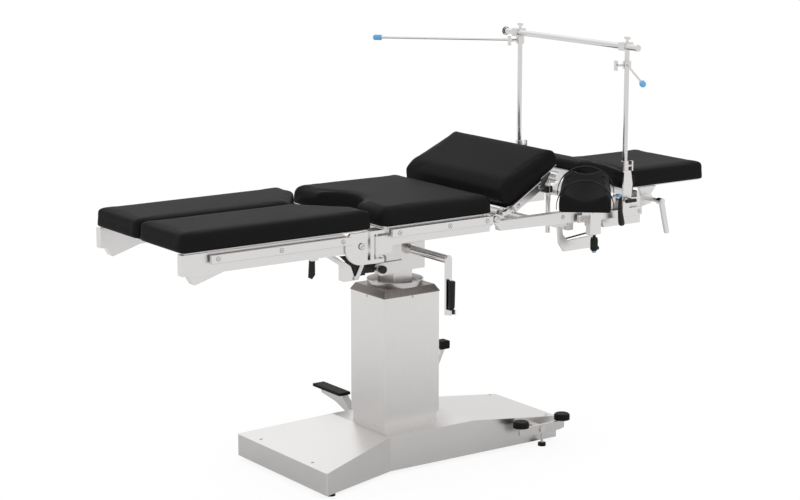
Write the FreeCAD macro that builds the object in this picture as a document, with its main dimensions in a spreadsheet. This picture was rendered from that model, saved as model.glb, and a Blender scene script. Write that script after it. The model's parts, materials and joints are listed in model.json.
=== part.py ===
"""Operating table: column, base, split leg rests, seat, kidney-bridge back and head rest.

Drawn about the column's axis: +X to the head end, +Y to the far side, +Z up from the floor.
The parts are written with the same axes and the origin at the sole of the near foot.
All sizes are in millimetres and all driving sizes are in one sheet.
"""
import FreeCAD
import Part
import Sketcher
import math
import os
import re

doc = FreeCAD.newDocument("OperatingTable")
sizes = doc.addObject("Spreadsheet::Sheet", "Sizes")

# Driving sizes, grouped by sub-assembly.
DRIVING_SIZES = {
    # Table top in general
    "half_width": 260, "pad_base": 812, "pad_thick": 57.5, "pad_round": 16, "corner_round": 10,
    "member_thick": 28, "member_outset": 2, "rail_height": 25, "rail_thick": 10, "rail_gap": 8,
    "sheet_thick": 3, "soft_gap": 0.3, "pin_clearance": 0.05, "side_gap": 0.5, "screw_radius": 3,
    "boss_radius": 6,
    # Base
    "base_foot_end": -433, "base_head_end": 535, "base_foot_half": 262, "base_waist_half": 166,
    "base_waist": -133.5, "base_flat_end": 191, "base_top": 123, "base_low_top": 81.4,
    "base_bottom": 12, "base_wall": 2.5, "base_round": 5, "chassis_low": 42, "chassis_thick": 8,
    "chassis_inset": 14, "foot_radius": 14, "foot_height": 10, "foot_stud_radius": 5,
    "foot_inset_along": 36, "foot_inset_across": 34,
    # Casters
    "caster_along": 470, "caster_across": 112, "wheel_radius": 18, "wheel_half": 8,
    "caster_trail": 14, "fork_wall": 3, "fork_gap": 0.8, "axle_radius": 3, "stem_radius": 5,
    # Column
    "column_half_x": 106.4, "column_half_y": 93.6, "cover_wall": 2, "cover_low": 153,
    "cover_high": 545.5, "inner_gap": 2.5, "inner_high": 470, "cap_rise": 23, "cap_inset": 12,
    "cap_lip": 0.8, "dish_radius": 91, "dish_height": 17, "dish_wall": 2.5, "cylinder_radius": 42,
    "cylinder_high": 430, "piston_radius": 27, "neck_half_x": 35.5, "neck_half_y": 45,
    "neck_low": 568, "piston_low": 150,
    # Tilt head
    "tilt_axis": 652, "tongue_radius": 42, "tilt_pin_radius": 12, "block_half_x": 44.5,
    "block_half_y": 100, "block_low": 631, "block_high": 716, "block_roof": 14, "block_wall": 8.5,
    "trunnion_height": 738, "trunnion_radius": 11, "ear_radius": 20, "ear_thick": 12,
    "eye_along": -118.6, "eye_height": 644, "eye_radius": 20, "eye_hole": 13, "eye_thick": 14,
    # Crank
    "crank_along": -16, "crank_height": "=block_high - 18", "crank_radius": 13, "crank_reach": 302,
    "crank_collar": 16, "crank_collar_length": 14, "crank_arm_length": 172, "crank_arm_width": 22,
    "crank_arm_thick": 9, "grip_radius": 11, "grip_length": 86, "grip_pin_radius": 4,
    "grip_outset": 14,
    # Seat
    "seat_start": -212, "seat_end": 188, "seat_frame_start": -204, "seat_frame_end": 190,
    "seat_frame_low": 757, "cutout_half": 112, "cutout_depth": 78, "seat_rail_low": 782.5,
    "seat_rail_start": -204, "seat_rail_end": 176, "cross_tube": 24, "saddle_half": 60,
    "pan_edge": 8,
    # Leg rests
    "leg_start": -910, "leg_end": -269, "leg_gap": 10, "leg_low": 747.5, "leg_hook_low": 718,
    "leg_rail_low": 777, "leg_rail_start": -828, "leg_rail_end": -351, "fold_along": -308.8,
    "fold_height": 767, "fold_plate_end": -287, "fold_plate_thick": 8.5, "fold_pin_radius": 8,
    "leg_cut_along": 121, "leg_cut_across": 166, "spread_along": -240, "spread_across": 246,
    "spread_pin_radius": 6, "bracket_low": 710, "bracket_high": 810, "bracket_post": 14,
    "bracket_arm": 12, "bracket_start": -277, 
    "hinge_block_low": 734, "hinge_block_high": 789,
    "lever_along": -458, "lever_drop": 62, "lever_across": 226,
    "lever_thick": 5, "lever_pivot_high": 747,
    # Back frame
    "back_along": 199.6, "back_height": 792.6, "back_pin_radius": 7, "beam_low": 750,
    "beam_high": 785, "beam_end": 794, "end_plate_start": 690, "end_plate_low": 718,
    "end_plate_high": 825, "end_plate_round": 22, "back_rail_start": 520, "back_rail_end": 786,
    "back_rail_low": 748, "hinge_eye": 17, "back_tube_radius": 11,
    "flap_axis": 232, "flap_height": 806, "flap_angle": 31, "flap_pin_radius": 4.5, "flap_start": 259,
    "flap_length": 233, "flap_base": 812, "flap_thick": 77, "flap_thin": 49, "bridge_axis": 780,
    "bridge_height": 803, "bridge_angle": 21, "bridge_start": 496, "bridge_end": 762, "release_x": 492, "release_z": 742,
    "kidney_along": 522, "kidney_height": 882, "kidney_half": 175, "kidney_radius": 15,
    "kidney_post": 190, "guide_radius": 8, "guide_across": 120, "guide_low": 718, "guide_high": 12, "yoke_low": 824, "yoke_half": 128,
    # Head rest
    "head_start": 822, "head_end": 1152, "head_half": 174, "head_base": 815.6, "head_thick": 59,
    "head_axis": 895, "head_height": 775, "head_eye": 17, "head_arm_across": 176,
    "head_arm_thick": 14, "head_shaft_radius": 7, "head_lever_drop": 110,
    # Screen frame
    "screen_along": 712, "screen_across": 275, "jaw_high": 815, "post_radius": 8, "collar_low": 894,
    "collar_height": 35, "screen_bar_height": 1300, "screen_bar_along": 699, "screen_bar_half": 337,
    "screen_bar_radius": 10, "screen_arm_length": 482, "arm_rod_radius": 4,
    "screen_arm_far_height": "=screen_bar_height - 27",
    "screen_arm_near_height": "=screen_bar_height - 59", "screen_arm_far_turn": 135.2,
    "screen_arm_near_turn": 234.4,
    # Arm support
    "support_along": 571, "support_across": -296, "support_post_radius": 8,
    "support_post_height": 36, "support_screw_radius": 5, "handle_along": 658, "handle_high": 822,
    "handle_drop": 96, "trough_x": 392, "trough_y": -460, "trough_z": 822, "trough_length": 190,
    "trough_half": 80, "trough_high": 46, "trough_floor": 30, "trough_dip_radius": 184,
    "trough_yaw": 49.4, "trough_pitch": 10, "cradle_low": 788, "cradle_thick": 12, "cradle_x": 500,
    "cradle_y": -345, "strap_wide": 24, "strap_thick": 2.5, "strap_centre": 8, "strap_room": 6,
    # Pedals, brake and small fits
    "brake_along": 439, "brake_height": 64, "brake_across": 205, "brake_thick": 8,
    "brake_half": 92, "brake_low": 54, "brake_high": 79, "brake_shaft_radius": 7,
    "brake_tread_inset": 7, "tread_radius": 26, "tread_thick": 20, "pedal_across": 138,
    "pedal_hub": 11, "pedal_cheek": 5, "pedal_shaft_radius": 5, "pump_along": -50,
    "pump_width": 24, "pump_axis": 100, "pump_tread_start": 214, "pump_tread_end": 376, "pump_tread_thick": 10,
    "pump_tread_low": 158, "pump_tread_width": 42, "release_along": 245, "release_width": 12,
    "release_axis": 90, "release_across": 200, "release_tip_along": 335, "release_tip_height": 265,
    "lock_foot_along": 455, "lock_foot_across": 188, "slot_room": 2, "slot_below": 13, "slot_above": 20,
    "fold_reach": 57, "fold_eye": 20, "bracket_inner": 223, "lock_across": 192,
}

COLUMNS = "ABCDEFGHIJ"
for place, (alias, value) in enumerate(DRIVING_SIZES.items()):
    cell = COLUMNS[place % len(COLUMNS)] + str(place // len(COLUMNS) + 1)
    sizes.set(cell, str(value))
    sizes.setAlias(cell, alias)
doc.recompute()

NODES = {}


def bound(formula):
    """A size formula with each alias written as a reference to the sheet."""
    return re.sub(r"[a-z_]+", lambda word: "Sizes." + word.group(0)
                  if word.group(0) in DRIVING_SIZES else word.group(0), str(formula))


def number(formula):
    """The present value of a size formula."""
    return float(sizes.evalExpression(str(formula)))


def drive(thing, **formulas):
    """Bind properties of an object to size formulas; x, y and z are its place."""
    for key, formula in formulas.items():
        target = "Placement.Base." + key if key in "xyz" else key
        thing.setExpression(target, bound(formula))


def block(name, x, y, z):
    """A box from one set of faces to the other, each pair being (low, high)."""
    box = doc.addObject("Part::Box", name)
    drive(box, x=x[0], y=y[0], z=z[0], Length=f"({x[1]}) - ({x[0]})",
          Width=f"({y[1]}) - ({y[0]})", Height=f"({z[1]}) - ({z[0]})")
    return box


AXIS_TURNS = {
    "x": FreeCAD.Rotation(FreeCAD.Vector(0, 1, 0), 90),
    "y": FreeCAD.Rotation(FreeCAD.Vector(1, 0, 0), -90),
    "z": FreeCAD.Rotation(),
}


def rod(name, axis, start, length, radius, x="0", y="0", z="0", end_radius=None):
    """A round bar along an axis from start; a second radius makes it a taper."""
    kind = "Part::Cylinder" if end_radius is None else "Part::Cone"
    bar = doc.addObject(kind, name)
    bar.Placement = FreeCAD.Placement(FreeCAD.Vector(), AXIS_TURNS[axis])
    place = {"x": x, "y": y, "z": z}
    place[axis] = start
    drive(bar, Height=length, **place)
    if end_radius is None:
        drive(bar, Radius=radius)
    else:
        drive(bar, Radius1=radius, Radius2=end_radius)
    return bar


def ball(name, radius, x, y, z):
    """A sphere about a point."""
    sphere = doc.addObject("Part::Sphere", name)
    drive(sphere, Radius=radius, x=x, y=y, z=z)
    return sphere


def joined(name, pieces):
    """Several solids made one, or kept as a group where they don't touch."""
    union = doc.addObject("Part::MultiFuse", name)
    union.Shapes = pieces
    union.Refine = True
    return union


def cut(name, base, *tools):
    """A solid with others taken away from it."""
    result = doc.addObject("Part::Cut", name)
    result.Base = base
    result.Tool = tools[0] if len(tools) == 1 else joined(name + "_tools", list(tools))
    result.Refine = True
    return result


def common(name, first, second):
    """What two solids share."""
    result = doc.addObject("Part::Common", name)
    result.Base = first
    result.Tool = second
    result.Refine = True
    return result


PLANE_ROLES = {"xy": "XY_Plane", "xz": "XZ_Plane", "yz": "YZ_Plane"}


def slab(name, plane, start, thick, corners):
    """A body padded from a closed outline of straight runs.

    corners are pairs of size formulas in the plane's two axes. The slab lies from
    start to start + thick along the third axis.
    """
    body = doc.addObject("PartDesign::Body", name)
    sketch = body.newObject("Sketcher::SketchObject", name + "_outline")
    role = PLANE_ROLES[plane]
    support = [item for item in body.Origin.OriginFeatures if item.Role == role][0]
    sketch.AttachmentSupport = (support, [""])
    sketch.MapMode = "FlatFace"
    offset = f"-(({start}) + ({thick}))" if plane == "xz" else start
    sketch.setExpression(".AttachmentOffset.Base.z", bound(offset))
    points = [FreeCAD.Vector(number(across), number(up), 0) for across, up in corners]
    count = len(points)
    for index, point in enumerate(points):
        sketch.addGeometry(Part.LineSegment(point, points[(index + 1) % count]), False)
    for index in range(count):
        sketch.addConstraint(Sketcher.Constraint("Coincident", index, 2, (index + 1) % count, 1))
    for index, corner in enumerate(corners):
        for kind, formula, value in (("DistanceX", corner[0], points[index].x),
                                     ("DistanceY", corner[1], points[index].y)):
            place = sketch.addConstraint(Sketcher.Constraint(kind, -1, 1, index, 1, value))
            label = f"{kind[-1].lower()}_{index}"
            sketch.renameConstraint(place, label)
            sketch.setExpression("Constraints." + label, bound(formula))
    pad = body.newObject("PartDesign::Pad", name + "_pad")
    pad.Profile = sketch
    pad.setExpression("Length", bound(thick))
    body.Tip = pad
    return body


def rounded(body, radius, choose):
    """Round the edges of a body that choose picks, by its present shape."""
    body.recompute(True)
    tip = body.Tip
    names = [f"Edge{index + 1}" for index, edge in enumerate(tip.Shape.Edges) if choose(edge)]
    fillet = body.newObject("PartDesign::Fillet", body.Name + "_round")
    fillet.Base = (tip, names)
    fillet.setExpression("Radius", bound(radius))
    body.Tip = fillet
    return body


def softened(name, base, radius, choose):
    """Round the picked edges of a solid that isn't a body."""
    base.recompute(True)
    result = doc.addObject("Part::Fillet", name)
    result.Base = base
    size = number(radius)
    result.Edges = [(index + 1, size, size) for index, edge in enumerate(base.Shape.Edges)
                    if choose(edge)]
    return result


def runs_along(axis):
    """A test for straight edges along one axis."""
    direction = {"x": FreeCAD.Vector(1, 0, 0), "y": FreeCAD.Vector(0, 1, 0),
                 "z": FreeCAD.Vector(0, 0, 1)}[axis]

    def test(edge):
        if len(edge.Vertexes) != 2 or edge.Curve.TypeId != "Part::GeomLine":
            return False
        run = edge.Vertexes[1].Point - edge.Vertexes[0].Point
        return abs(abs(run.normalize().dot(direction)) - 1) < 1e-6
    return test


def lies_at_height(height):
    """A test for edges that lie in one level plane."""
    level = number(height)

    def test(edge):
        return all(abs(vertex.Point.z - level) < 1e-4 for vertex in edge.Vertexes)
    return test


def turned(thing, x, z, angle):
    """Turn a finished piece about a line along Y through (x, z); positive lifts its head end."""
    thing.Placement = FreeCAD.Placement(FreeCAD.Vector(), FreeCAD.Rotation(FreeCAD.Vector(0, -1, 0), 1))
    thing.setExpression("Placement.Rotation.Angle", bound(angle))
    drive(thing, x=f"({x}) - ({x}) * cos({angle}) + ({z}) * sin({angle})",
          z=f"({z}) - ({x}) * sin({angle}) - ({z}) * cos({angle})")
    return thing


def node(name, thing):
    """Give a finished sub-part its name."""
    thing.Label = name
    NODES[name] = thing
    return thing


def outward(side, inner, thick):
    """The start along Y of a slab of some thickness that begins at inner on one side."""
    return f"({inner})" if side > 0 else f"-({inner}) - ({thick})"


SIDES = {"near": -1, "far": 1}


# Base: a sheet cover with a flat crown and sloping ends, on a plate with feet and casters.
def base_form(name, inset, low):
    """The base's outline in plan, shared with its side profile, both drawn in by inset."""
    foot_half = f"base_foot_half - {inset}"
    waist_half = f"base_waist_half - {inset}"
    foot_end = f"base_foot_end + {inset}"
    head_end = f"base_head_end - {inset}"
    plan = slab(name + "_plan", "xy", low, f"base_top - ({low})", [
        (foot_end, f"-({foot_half})"), ("base_waist", f"-({waist_half})"),
        (head_end, f"-({waist_half})"), (head_end, waist_half),
        ("base_waist", waist_half), (foot_end, foot_half)])
    rounded(plan, "base_round", runs_along("z"))
    profile = slab(name + "_profile", "xz", f"-({foot_half}) - base_round", f"2 * ({foot_half} + base_round)", [
        (f"{foot_end} - base_round", low), (f"{head_end} + base_round", low),
        (f"{head_end} + base_round", f"base_low_top - {inset}"), ("base_flat_end", f"base_top - {inset}"),
        ("base_waist", f"base_top - {inset}"), (f"{foot_end} - base_round", f"base_low_top - {inset}")])
    return common(name, plan, profile)


outer_form = base_form("base_outer", "0", "base_bottom")
inner_form = base_form("base_inner", "base_wall", "base_bottom - base_wall")
INNER_X = "column_half_x - cover_wall - inner_gap"
INNER_Y = "column_half_y - cover_wall - inner_gap"
column_opening = block("column_opening", (f"-({INNER_X})", INNER_X), (f"-({INNER_Y})", INNER_Y),
                       ("chassis_low + chassis_thick", "base_top + 1"))
brake_hole = rod("brake_hole", "y", "-base_waist_half - 1", "base_wall + 2", "brake_shaft_radius + pin_clearance",
                 x="brake_along", z="brake_height")
pump_slot = block("pump_slot", ("pump_along - pump_width / 2 - slot_room", "pump_along + pump_width / 2 + slot_room"),
                  ("base_waist_half - base_wall - 1", "base_waist_half + 1"),
                  ("pump_axis - slot_below", "pump_axis + slot_above"))
release_hole = rod("release_hole", "y", "base_waist_half - base_wall - 1", "base_wall + 2",
                   "pedal_shaft_radius + pin_clearance", x="release_along", z="release_axis")
node("base_cover", cut("base_shell", outer_form, inner_form, column_opening, brake_hole, pump_slot, release_hole))

chassis_form = common("chassis_form", base_form("chassis_plate", "(base_wall + soft_gap)", "chassis_low"),
                      block("chassis_layer", ("base_foot_end", "base_head_end"), ("-base_foot_half", "base_foot_half"),
                            ("chassis_low", "chassis_low + chassis_thick")))
stem_holes = []
for tag, side in SIDES.items():
    stem_holes.append(rod("stem_hole_" + tag, "z", "chassis_low - 1", "chassis_thick + 2",
                          "stem_radius + pin_clearance", x="caster_along", y=f"{side} * caster_across"))
chassis = cut("chassis", chassis_form, *stem_holes)

feet = []
for tag, side in SIDES.items():
    place = {"x": "base_foot_end + foot_inset_along", "y": f"{side} * (base_foot_half - foot_inset_across)"}
    feet.append(joined("foot_" + tag, [
        rod("foot_pad_" + tag, "z", "0", "foot_height", "foot_radius", **place),
        rod("foot_stud_" + tag, "z", "foot_height", "chassis_low - foot_height", "foot_stud_radius", **place)]))
feet.append(rod("lock_foot", "z", "0", "foot_height", "foot_radius - 1", x="lock_foot_along", y="-lock_foot_across"))
node("levelling_feet", joined("feet", feet))

for tag, side in SIDES.items():
    middle = f"{side} * caster_across"
    wheel_along = "caster_along - caster_trail"
    wheel = rod("wheel_disc_" + tag, "y", f"{middle} - wheel_half", "2 * wheel_half", "wheel_radius",
                x=wheel_along, z="wheel_radius")
    wheel_bore = rod("wheel_bore_" + tag, "y", f"{middle} - wheel_half - 1", "2 * wheel_half + 2",
                     "axle_radius + pin_clearance", x=wheel_along, z="wheel_radius")
    node("caster_wheel_" + tag, cut("caster_tyre_" + tag, wheel, wheel_bore))
    cheek_gap = "(wheel_half + fork_gap)"
    cheeks = []
    for hand, sign in (("a", -1), ("b", 1)):
        start = f"{middle} + {cheek_gap}" if sign > 0 else f"{middle} - {cheek_gap} - fork_wall"
        cheeks.append(slab(f"fork_cheek_{tag}_{hand}", "xz", start, "fork_wall", [
            ("caster_along - caster_trail - axle_radius * 2", "wheel_radius - axle_radius * 2"),
            ("caster_along - caster_trail + axle_radius * 2", "wheel_radius - axle_radius * 2"),
            ("caster_along + stem_radius * 2", "chassis_low - fork_wall"),
            ("caster_along - caster_trail - axle_radius * 2", "chassis_low - fork_wall")]))
    bridge = block("fork_bridge_" + tag, ("caster_along - caster_trail - axle_radius * 2", "caster_along + stem_radius * 2"),
                   (f"{middle} - {cheek_gap} - fork_wall", f"{middle} + {cheek_gap} + fork_wall"),
                   ("chassis_low - fork_wall - soft_gap", "chassis_low - soft_gap"))
    axle = rod("axle_" + tag, "y", f"{middle} - {cheek_gap} - fork_wall", f"2 * ({cheek_gap} + fork_wall)",
               "axle_radius", x=wheel_along, z="wheel_radius")
    stem = rod("stem_" + tag, "z", "chassis_low - fork_wall", "chassis_thick + fork_wall + 6", "stem_radius",
               x="caster_along", y=middle)
    node("caster_fork_" + tag, joined("fork_" + tag, cheeks + [bridge, axle, stem]))

# Fixed lower part of the column and its hydraulic ram.
sleeve = block("inner_sleeve", (f"-({INNER_X})", INNER_X), (f"-({INNER_Y})", INNER_Y),
               ("chassis_low + chassis_thick", "inner_high"))
sleeve_room = block("inner_sleeve_room", (f"-({INNER_X}) + cover_wall", f"{INNER_X} - cover_wall"),
                    (f"-({INNER_Y}) + cover_wall", f"{INNER_Y} - cover_wall"),
                    ("chassis_low + chassis_thick - 1", "inner_high + 1"))
node("column_inner_cover", cut("inner_cover", sleeve, sleeve_room))
ram = rod("ram_tube", "z", "chassis_low + chassis_thick", "cylinder_high - chassis_low - chassis_thick",
          "cylinder_radius")
ram_bore = rod("ram_bore", "z", "chassis_low + chassis_thick * 2", "cylinder_high", "piston_radius + pin_clearance")
node("lift_cylinder", cut("ram", ram, ram_bore))

# Brake rocker with its two treads on the near side.
brake_shaft = joined("brake_shaft_bar", [
    rod("brake_bar", "y", "-brake_across - brake_thick / 2 - 3", "brake_across + brake_thick / 2 + 3 - base_waist_half + 30",
        "brake_shaft_radius", x="brake_along", z="brake_height"),
    rod("brake_head", "y", "-brake_across - brake_thick / 2 - 5", "4", "brake_shaft_radius + 4",
        x="brake_along", z="brake_height"),
    rod("brake_collar", "y", "-brake_across + brake_thick / 2 + soft_gap",
        "brake_across - brake_thick / 2 - soft_gap - base_waist_half", "brake_shaft_radius + 4",
        x="brake_along", z="brake_height"),
    block("brake_stand", ("brake_along - 12", "brake_along + 12"), ("-base_waist_half + 10", "-base_waist_half + 34"),
          ("chassis_low + chassis_thick", "brake_height + brake_shaft_radius")),
    block("lock_foot_lug", ("brake_along", "lock_foot_along + 5"), ("-lock_foot_across - 5", "-lock_foot_across + 5"),
          ("brake_height - 5", "brake_height + 5")),
    rod("lock_foot_stem", "z", "foot_height", "brake_height - foot_height", "foot_stud_radius - 1",
        x="lock_foot_along", y="-lock_foot_across")])
rocker = slab("rocker_bar", "xz", "-brake_across - brake_thick / 2", "brake_thick", [
    ("brake_along - brake_half", "brake_low"), ("brake_along - brake_half * 0.75", "brake_low - 4"),
    ("brake_along + brake_half * 0.75", "brake_low - 4"), ("brake_along + brake_half", "brake_low"),
    ("brake_along + brake_half", "brake_high"), ("brake_along - brake_half", "brake_high")])
rounded(rocker, "corner_round / 2", runs_along("y"))
rocker_bore = rod("rocker_bore", "y", "-brake_across - brake_thick / 2 - 1", "brake_thick + 2",
                  "brake_shaft_radius + pin_clearance", x="brake_along", z="brake_height")
node("brake_rocker", cut("rocker", rocker, rocker_bore))
treads = []
for tag, sign in (("foot", -1), ("head", 1)):
    along = f"brake_along + {sign} * (brake_half - brake_tread_inset)"
    top = joined("tread_top_" + tag, [
        rod("tread_disc_" + tag, "z", "brake_high + 3", "tread_thick - 4", "tread_radius", x=along, y="-brake_across"),
        rod("tread_crown_" + tag, "z", "brake_high + tread_thick - 1", "4", "tread_radius", x=along, y="-brake_across",
            end_radius="tread_radius - 4")])
    neck = rod("tread_neck_" + tag, "z", "brake_high", "5", "tread_radius / 2", x=along, y="-brake_across")
    treads.append(joined("tread_" + tag, [top, neck]))
node("brake_treads", joined("treads", treads))

# Foot pedals on the far side: pump up and let down.
brackets = []
for hand, start in (("a", "pump_along - pump_width / 2 - side_gap - pedal_cheek"),
                    ("b", "pump_along + pump_width / 2 + side_gap")):
    brackets.append(slab("pump_cheek_" + hand, "yz", start, "pedal_cheek", [
        ("pedal_across - pedal_hub * 1.6", "chassis_low + chassis_thick"),
        ("pedal_across + pedal_hub", "chassis_low + chassis_thick"),
        ("pedal_across + pedal_hub * 0.6", "pump_axis + pedal_hub * 0.8"),
        ("pedal_across - pedal_hub * 0.6", "pump_axis + pedal_hub * 0.8")]))
brackets.append(rod("pump_shaft", "x", "pump_along - pump_width / 2 - side_gap - pedal_cheek",
                    "pump_width + 2 * (side_gap + pedal_cheek)", "pedal_shaft_radius", y="pedal_across", z="pump_axis"))
brackets.append(block("release_stand", ("release_along - pedal_hub", "release_along + pedal_hub"),
                      ("pedal_across - pedal_hub", "pedal_across + pedal_hub"),
                      ("chassis_low + chassis_thick", "release_axis + pedal_hub")))
brackets.append(rod("release_shaft", "y", "pedal_across", "release_across + release_width / 2 + 5 - pedal_across",
                    "pedal_shaft_radius", x="release_along", z="release_axis"))
brackets.append(rod("release_head", "y", "release_across + release_width / 2 + 1", "4", "pedal_shaft_radius + 4",
                    x="release_along", z="release_axis"))
brackets.append(rod("release_collar", "y", "base_waist_half", "release_across - release_width / 2 - base_waist_half - 1",
                    "pedal_shaft_radius + 4", x="release_along", z="release_axis"))
node("base_chassis", joined("chassis_with_cheeks", [chassis, brake_shaft] + brackets))

pump_plate = slab("pump_arm_plate", "yz", "pump_along - pump_width / 2", "pump_width", [
    ("pedal_across", "pump_axis - 6"), ("pedal_across + 45", "pump_axis + 8"),
    ("pump_tread_start + 40", "pump_tread_low - 26"), ("pump_tread_end - 40", "pump_tread_low - 14"),
    ("pump_tread_end - 34", "pump_tread_low"), ("pump_tread_start", "pump_tread_low"),
    ("pedal_across + 30", "pump_axis + 20"), ("pedal_across", "pump_axis + 6")])
pump_hub = rod("pump_hub", "x", "pump_along - pump_width / 2", "pump_width", "pedal_hub", y="pedal_across", z="pump_axis")
pump_bore = rod("pump_bore", "x", "pump_along - pump_width / 2 - 1", "pump_width + 2",
                "pedal_shaft_radius + pin_clearance", y="pedal_across", z="pump_axis")
node("pump_pedal_arm", cut("pump_arm", joined("pump_arm_solid", [pump_plate, pump_hub]), pump_bore))
tread = slab("pump_tread_form", "yz", "pump_along - pump_tread_width / 2", "pump_tread_width", [
    ("pump_tread_start", "pump_tread_low"), ("pump_tread_end", "pump_tread_low"),
    ("pump_tread_end", "pump_tread_low + pump_tread_thick"), ("pump_tread_start", "pump_tread_low + pump_tread_thick")])
rounded(tread, "3", runs_along("x"))
node("pump_pedal_tread", tread)

release_plate = slab("release_arm_plate", "xz", "release_across - release_width / 2", "release_width", [
    ("release_along - 9", "release_axis + 3"), ("release_along + 9", "release_axis - 3"),
    ("release_tip_along + 7", "release_tip_height"), ("release_tip_along - 7", "release_tip_height")])
release_hub = rod("release_hub", "y", "release_across - release_width / 2", "release_width", "pedal_hub",
                  x="release_along", z="release_axis")
release_arm_bore = rod("release_arm_bore", "y", "release_across - release_width / 2 - 1", "release_width + 2",
                       "pedal_shaft_radius + pin_clearance", x="release_along", z="release_axis")
node("release_pedal_arm", cut("release_arm", joined("release_arm_solid", [release_plate, release_hub]),
                              release_arm_bore))
tip = slab("release_tip", "xz", "release_across - 16", "32", [
    ("release_tip_along - 19", "release_tip_height"), ("release_tip_along + 19", "release_tip_height"),
    ("release_tip_along + 19", "release_tip_height + 28"), ("release_tip_along - 19", "release_tip_height + 28")])
rounded(tip, "5", runs_along("y"))
node("release_pedal_tread", tip)


# Column: the cover that rises with the table top, its cap, the collar dish and the neck.
cover_outer = block("cover_outer", ("-column_half_x", "column_half_x"), ("-column_half_y", "column_half_y"),
                    ("cover_low", "cover_high"))
cover_room = block("cover_room", ("-column_half_x + cover_wall", "column_half_x - cover_wall"),
                   ("-column_half_y + cover_wall", "column_half_y - cover_wall"),
                   ("cover_low - 1", "cover_high + 1"))
node("column_cover", cut("cover", softened("cover_soft", cover_outer, "2", runs_along("z")), cover_room))


def frustum(name, half_x, half_y, low, high, inset):
    """A four-sided block whose sides lean in by inset from low to high."""
    wedge = doc.addObject("Part::Wedge", name)
    # The wedge's own Y is turned to stand along Z.
    wedge.Placement = FreeCAD.Placement(FreeCAD.Vector(), FreeCAD.Rotation(FreeCAD.Vector(1, 0, 0), 90))
    drive(wedge, z=low, Xmin=f"-({half_x})", Xmax=half_x, Zmin=f"-({half_y})", Zmax=half_y,
          Ymin="0", Ymax=f"({high}) - ({low})", X2min=f"-({half_x}) + {inset}", X2max=f"{half_x} - {inset}",
          Z2min=f"-({half_y}) + {inset}", Z2max=f"{half_y} - {inset}")
    return wedge


cap_outer = joined("cap_form", [
    frustum("cap_lid", "column_half_x + cap_lip", "column_half_y + cap_lip", "cover_high + 3", "cover_high + cap_rise",
            "cap_inset"),
    block("cap_rim", ("-column_half_x - cap_lip", "column_half_x + cap_lip"),
          ("-column_half_y - cap_lip", "column_half_y + cap_lip"), ("cover_high", "cover_high + 3"))])
cap_room = frustum("cap_room", "column_half_x - 6", "column_half_y - 6", "cover_high - 1", "cover_high + cap_rise - 5",
                   "cap_inset")
neck_hole = block("neck_hole", ("-neck_half_x", "neck_half_x"), ("-neck_half_y", "neck_half_y"),
                  ("cover_high", "cover_high + cap_rise + 1"))
node("column_cap", cut("cap", cap_outer, cap_room, neck_hole))

dish_low = "cover_high + cap_rise"
dish = rod("dish_disc", "z", dish_low, "dish_height", "dish_radius - 4", end_radius="dish_radius")
dish_room = rod("dish_room", "z", f"{dish_low} + dish_wall", "dish_height", "dish_radius - 4 - dish_wall",
                end_radius="dish_radius - dish_wall")
dish_hole = block("dish_hole", ("-neck_half_x", "neck_half_x"), ("-neck_half_y", "neck_half_y"),
                  (f"{dish_low} - 1", f"{dish_low} + dish_wall + 1"))
node("splash_dish", cut("dish_shell", dish, dish_room, dish_hole))

neck = block("neck_block", ("-neck_half_x", "neck_half_x"), ("-neck_half_y", "neck_half_y"),
             ("cover_high - 20", "tilt_axis - tongue_radius / 2"))
tongue = rod("tongue", "x", "-neck_half_x", "2 * neck_half_x", "tongue_radius", z="tilt_axis")
tongue_bore = rod("tongue_bore", "x", "-neck_half_x - 1", "2 * neck_half_x + 2", "tilt_pin_radius + pin_clearance",
                  z="tilt_axis")
piston = rod("piston", "z", "piston_low", "cover_high - 20 - piston_low", "piston_radius")
cap_plate = block("neck_flange", ("-column_half_x + 6 + cover_wall", "column_half_x - 6 - cover_wall"),
                  ("-column_half_y + 6 + cover_wall", "column_half_y - 6 - cover_wall"),
                  ("cover_high - 20", "cover_high - 8"))
flange_lugs = block("neck_flange_lugs", ("-column_half_x + cover_wall", "column_half_x - cover_wall"), ("-30", "30"),
                    ("cover_high - 20", "cover_high - 8"))
node("neck_post", cut("neck", joined("neck_form", [neck, tongue, piston, cap_plate, flange_lugs]), tongue_bore))

# Tilt head: a box on the neck that leans sideways, with ears for the fore-and-aft tilt.
head_box = block("head_box", ("-block_half_x", "block_half_x"), ("-block_half_y", "block_half_y"),
                 ("block_low", "block_high"))
head_room = block("head_room", ("-block_half_x + block_wall", "block_half_x - block_wall"),
                  ("-block_half_y + block_wall", "block_half_y - block_wall"), ("block_low - 1", "block_high - block_roof"))
ears = []
for tag, side in SIDES.items():
    start = outward(side, "saddle_half + side_gap", "ear_thick")
    ears.append(rod("ear_round_" + tag, "y", start, "ear_thick", "ear_radius", z="trunnion_height"))
    ears.append(block("ear_root_" + tag, ("-ear_radius", "ear_radius"), (start, f"{start} + ear_thick"),
                      ("block_high - block_roof / 2", "trunnion_height")))
eye_start = "-block_half_y"
eye_arm = slab("eye_arm", "xz", eye_start, "eye_thick", [
    ("eye_along", "eye_height - eye_radius"), ("-block_half_x + 1", "block_low"),
    ("-block_half_x + 1", "block_low + 34"), ("eye_along", "eye_height + eye_radius")])
eye_round = rod("eye_round", "y", eye_start, "eye_thick", "eye_radius", x="eye_along", z="eye_height")
eye_bore = rod("eye_bore", "y", f"{eye_start} - 1", "eye_thick + 2", "eye_hole", x="eye_along", z="eye_height")
crank_bore = rod("crank_bore", "y", "-block_half_y - 1", "block_wall + 2", "crank_radius + pin_clearance",
                 x="crank_along", z="crank_height")
tilt_pin = rod("tilt_pin", "x", "-block_half_x - 4", "2 * (block_half_x + 4)", "tilt_pin_radius", z="tilt_axis")
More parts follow.
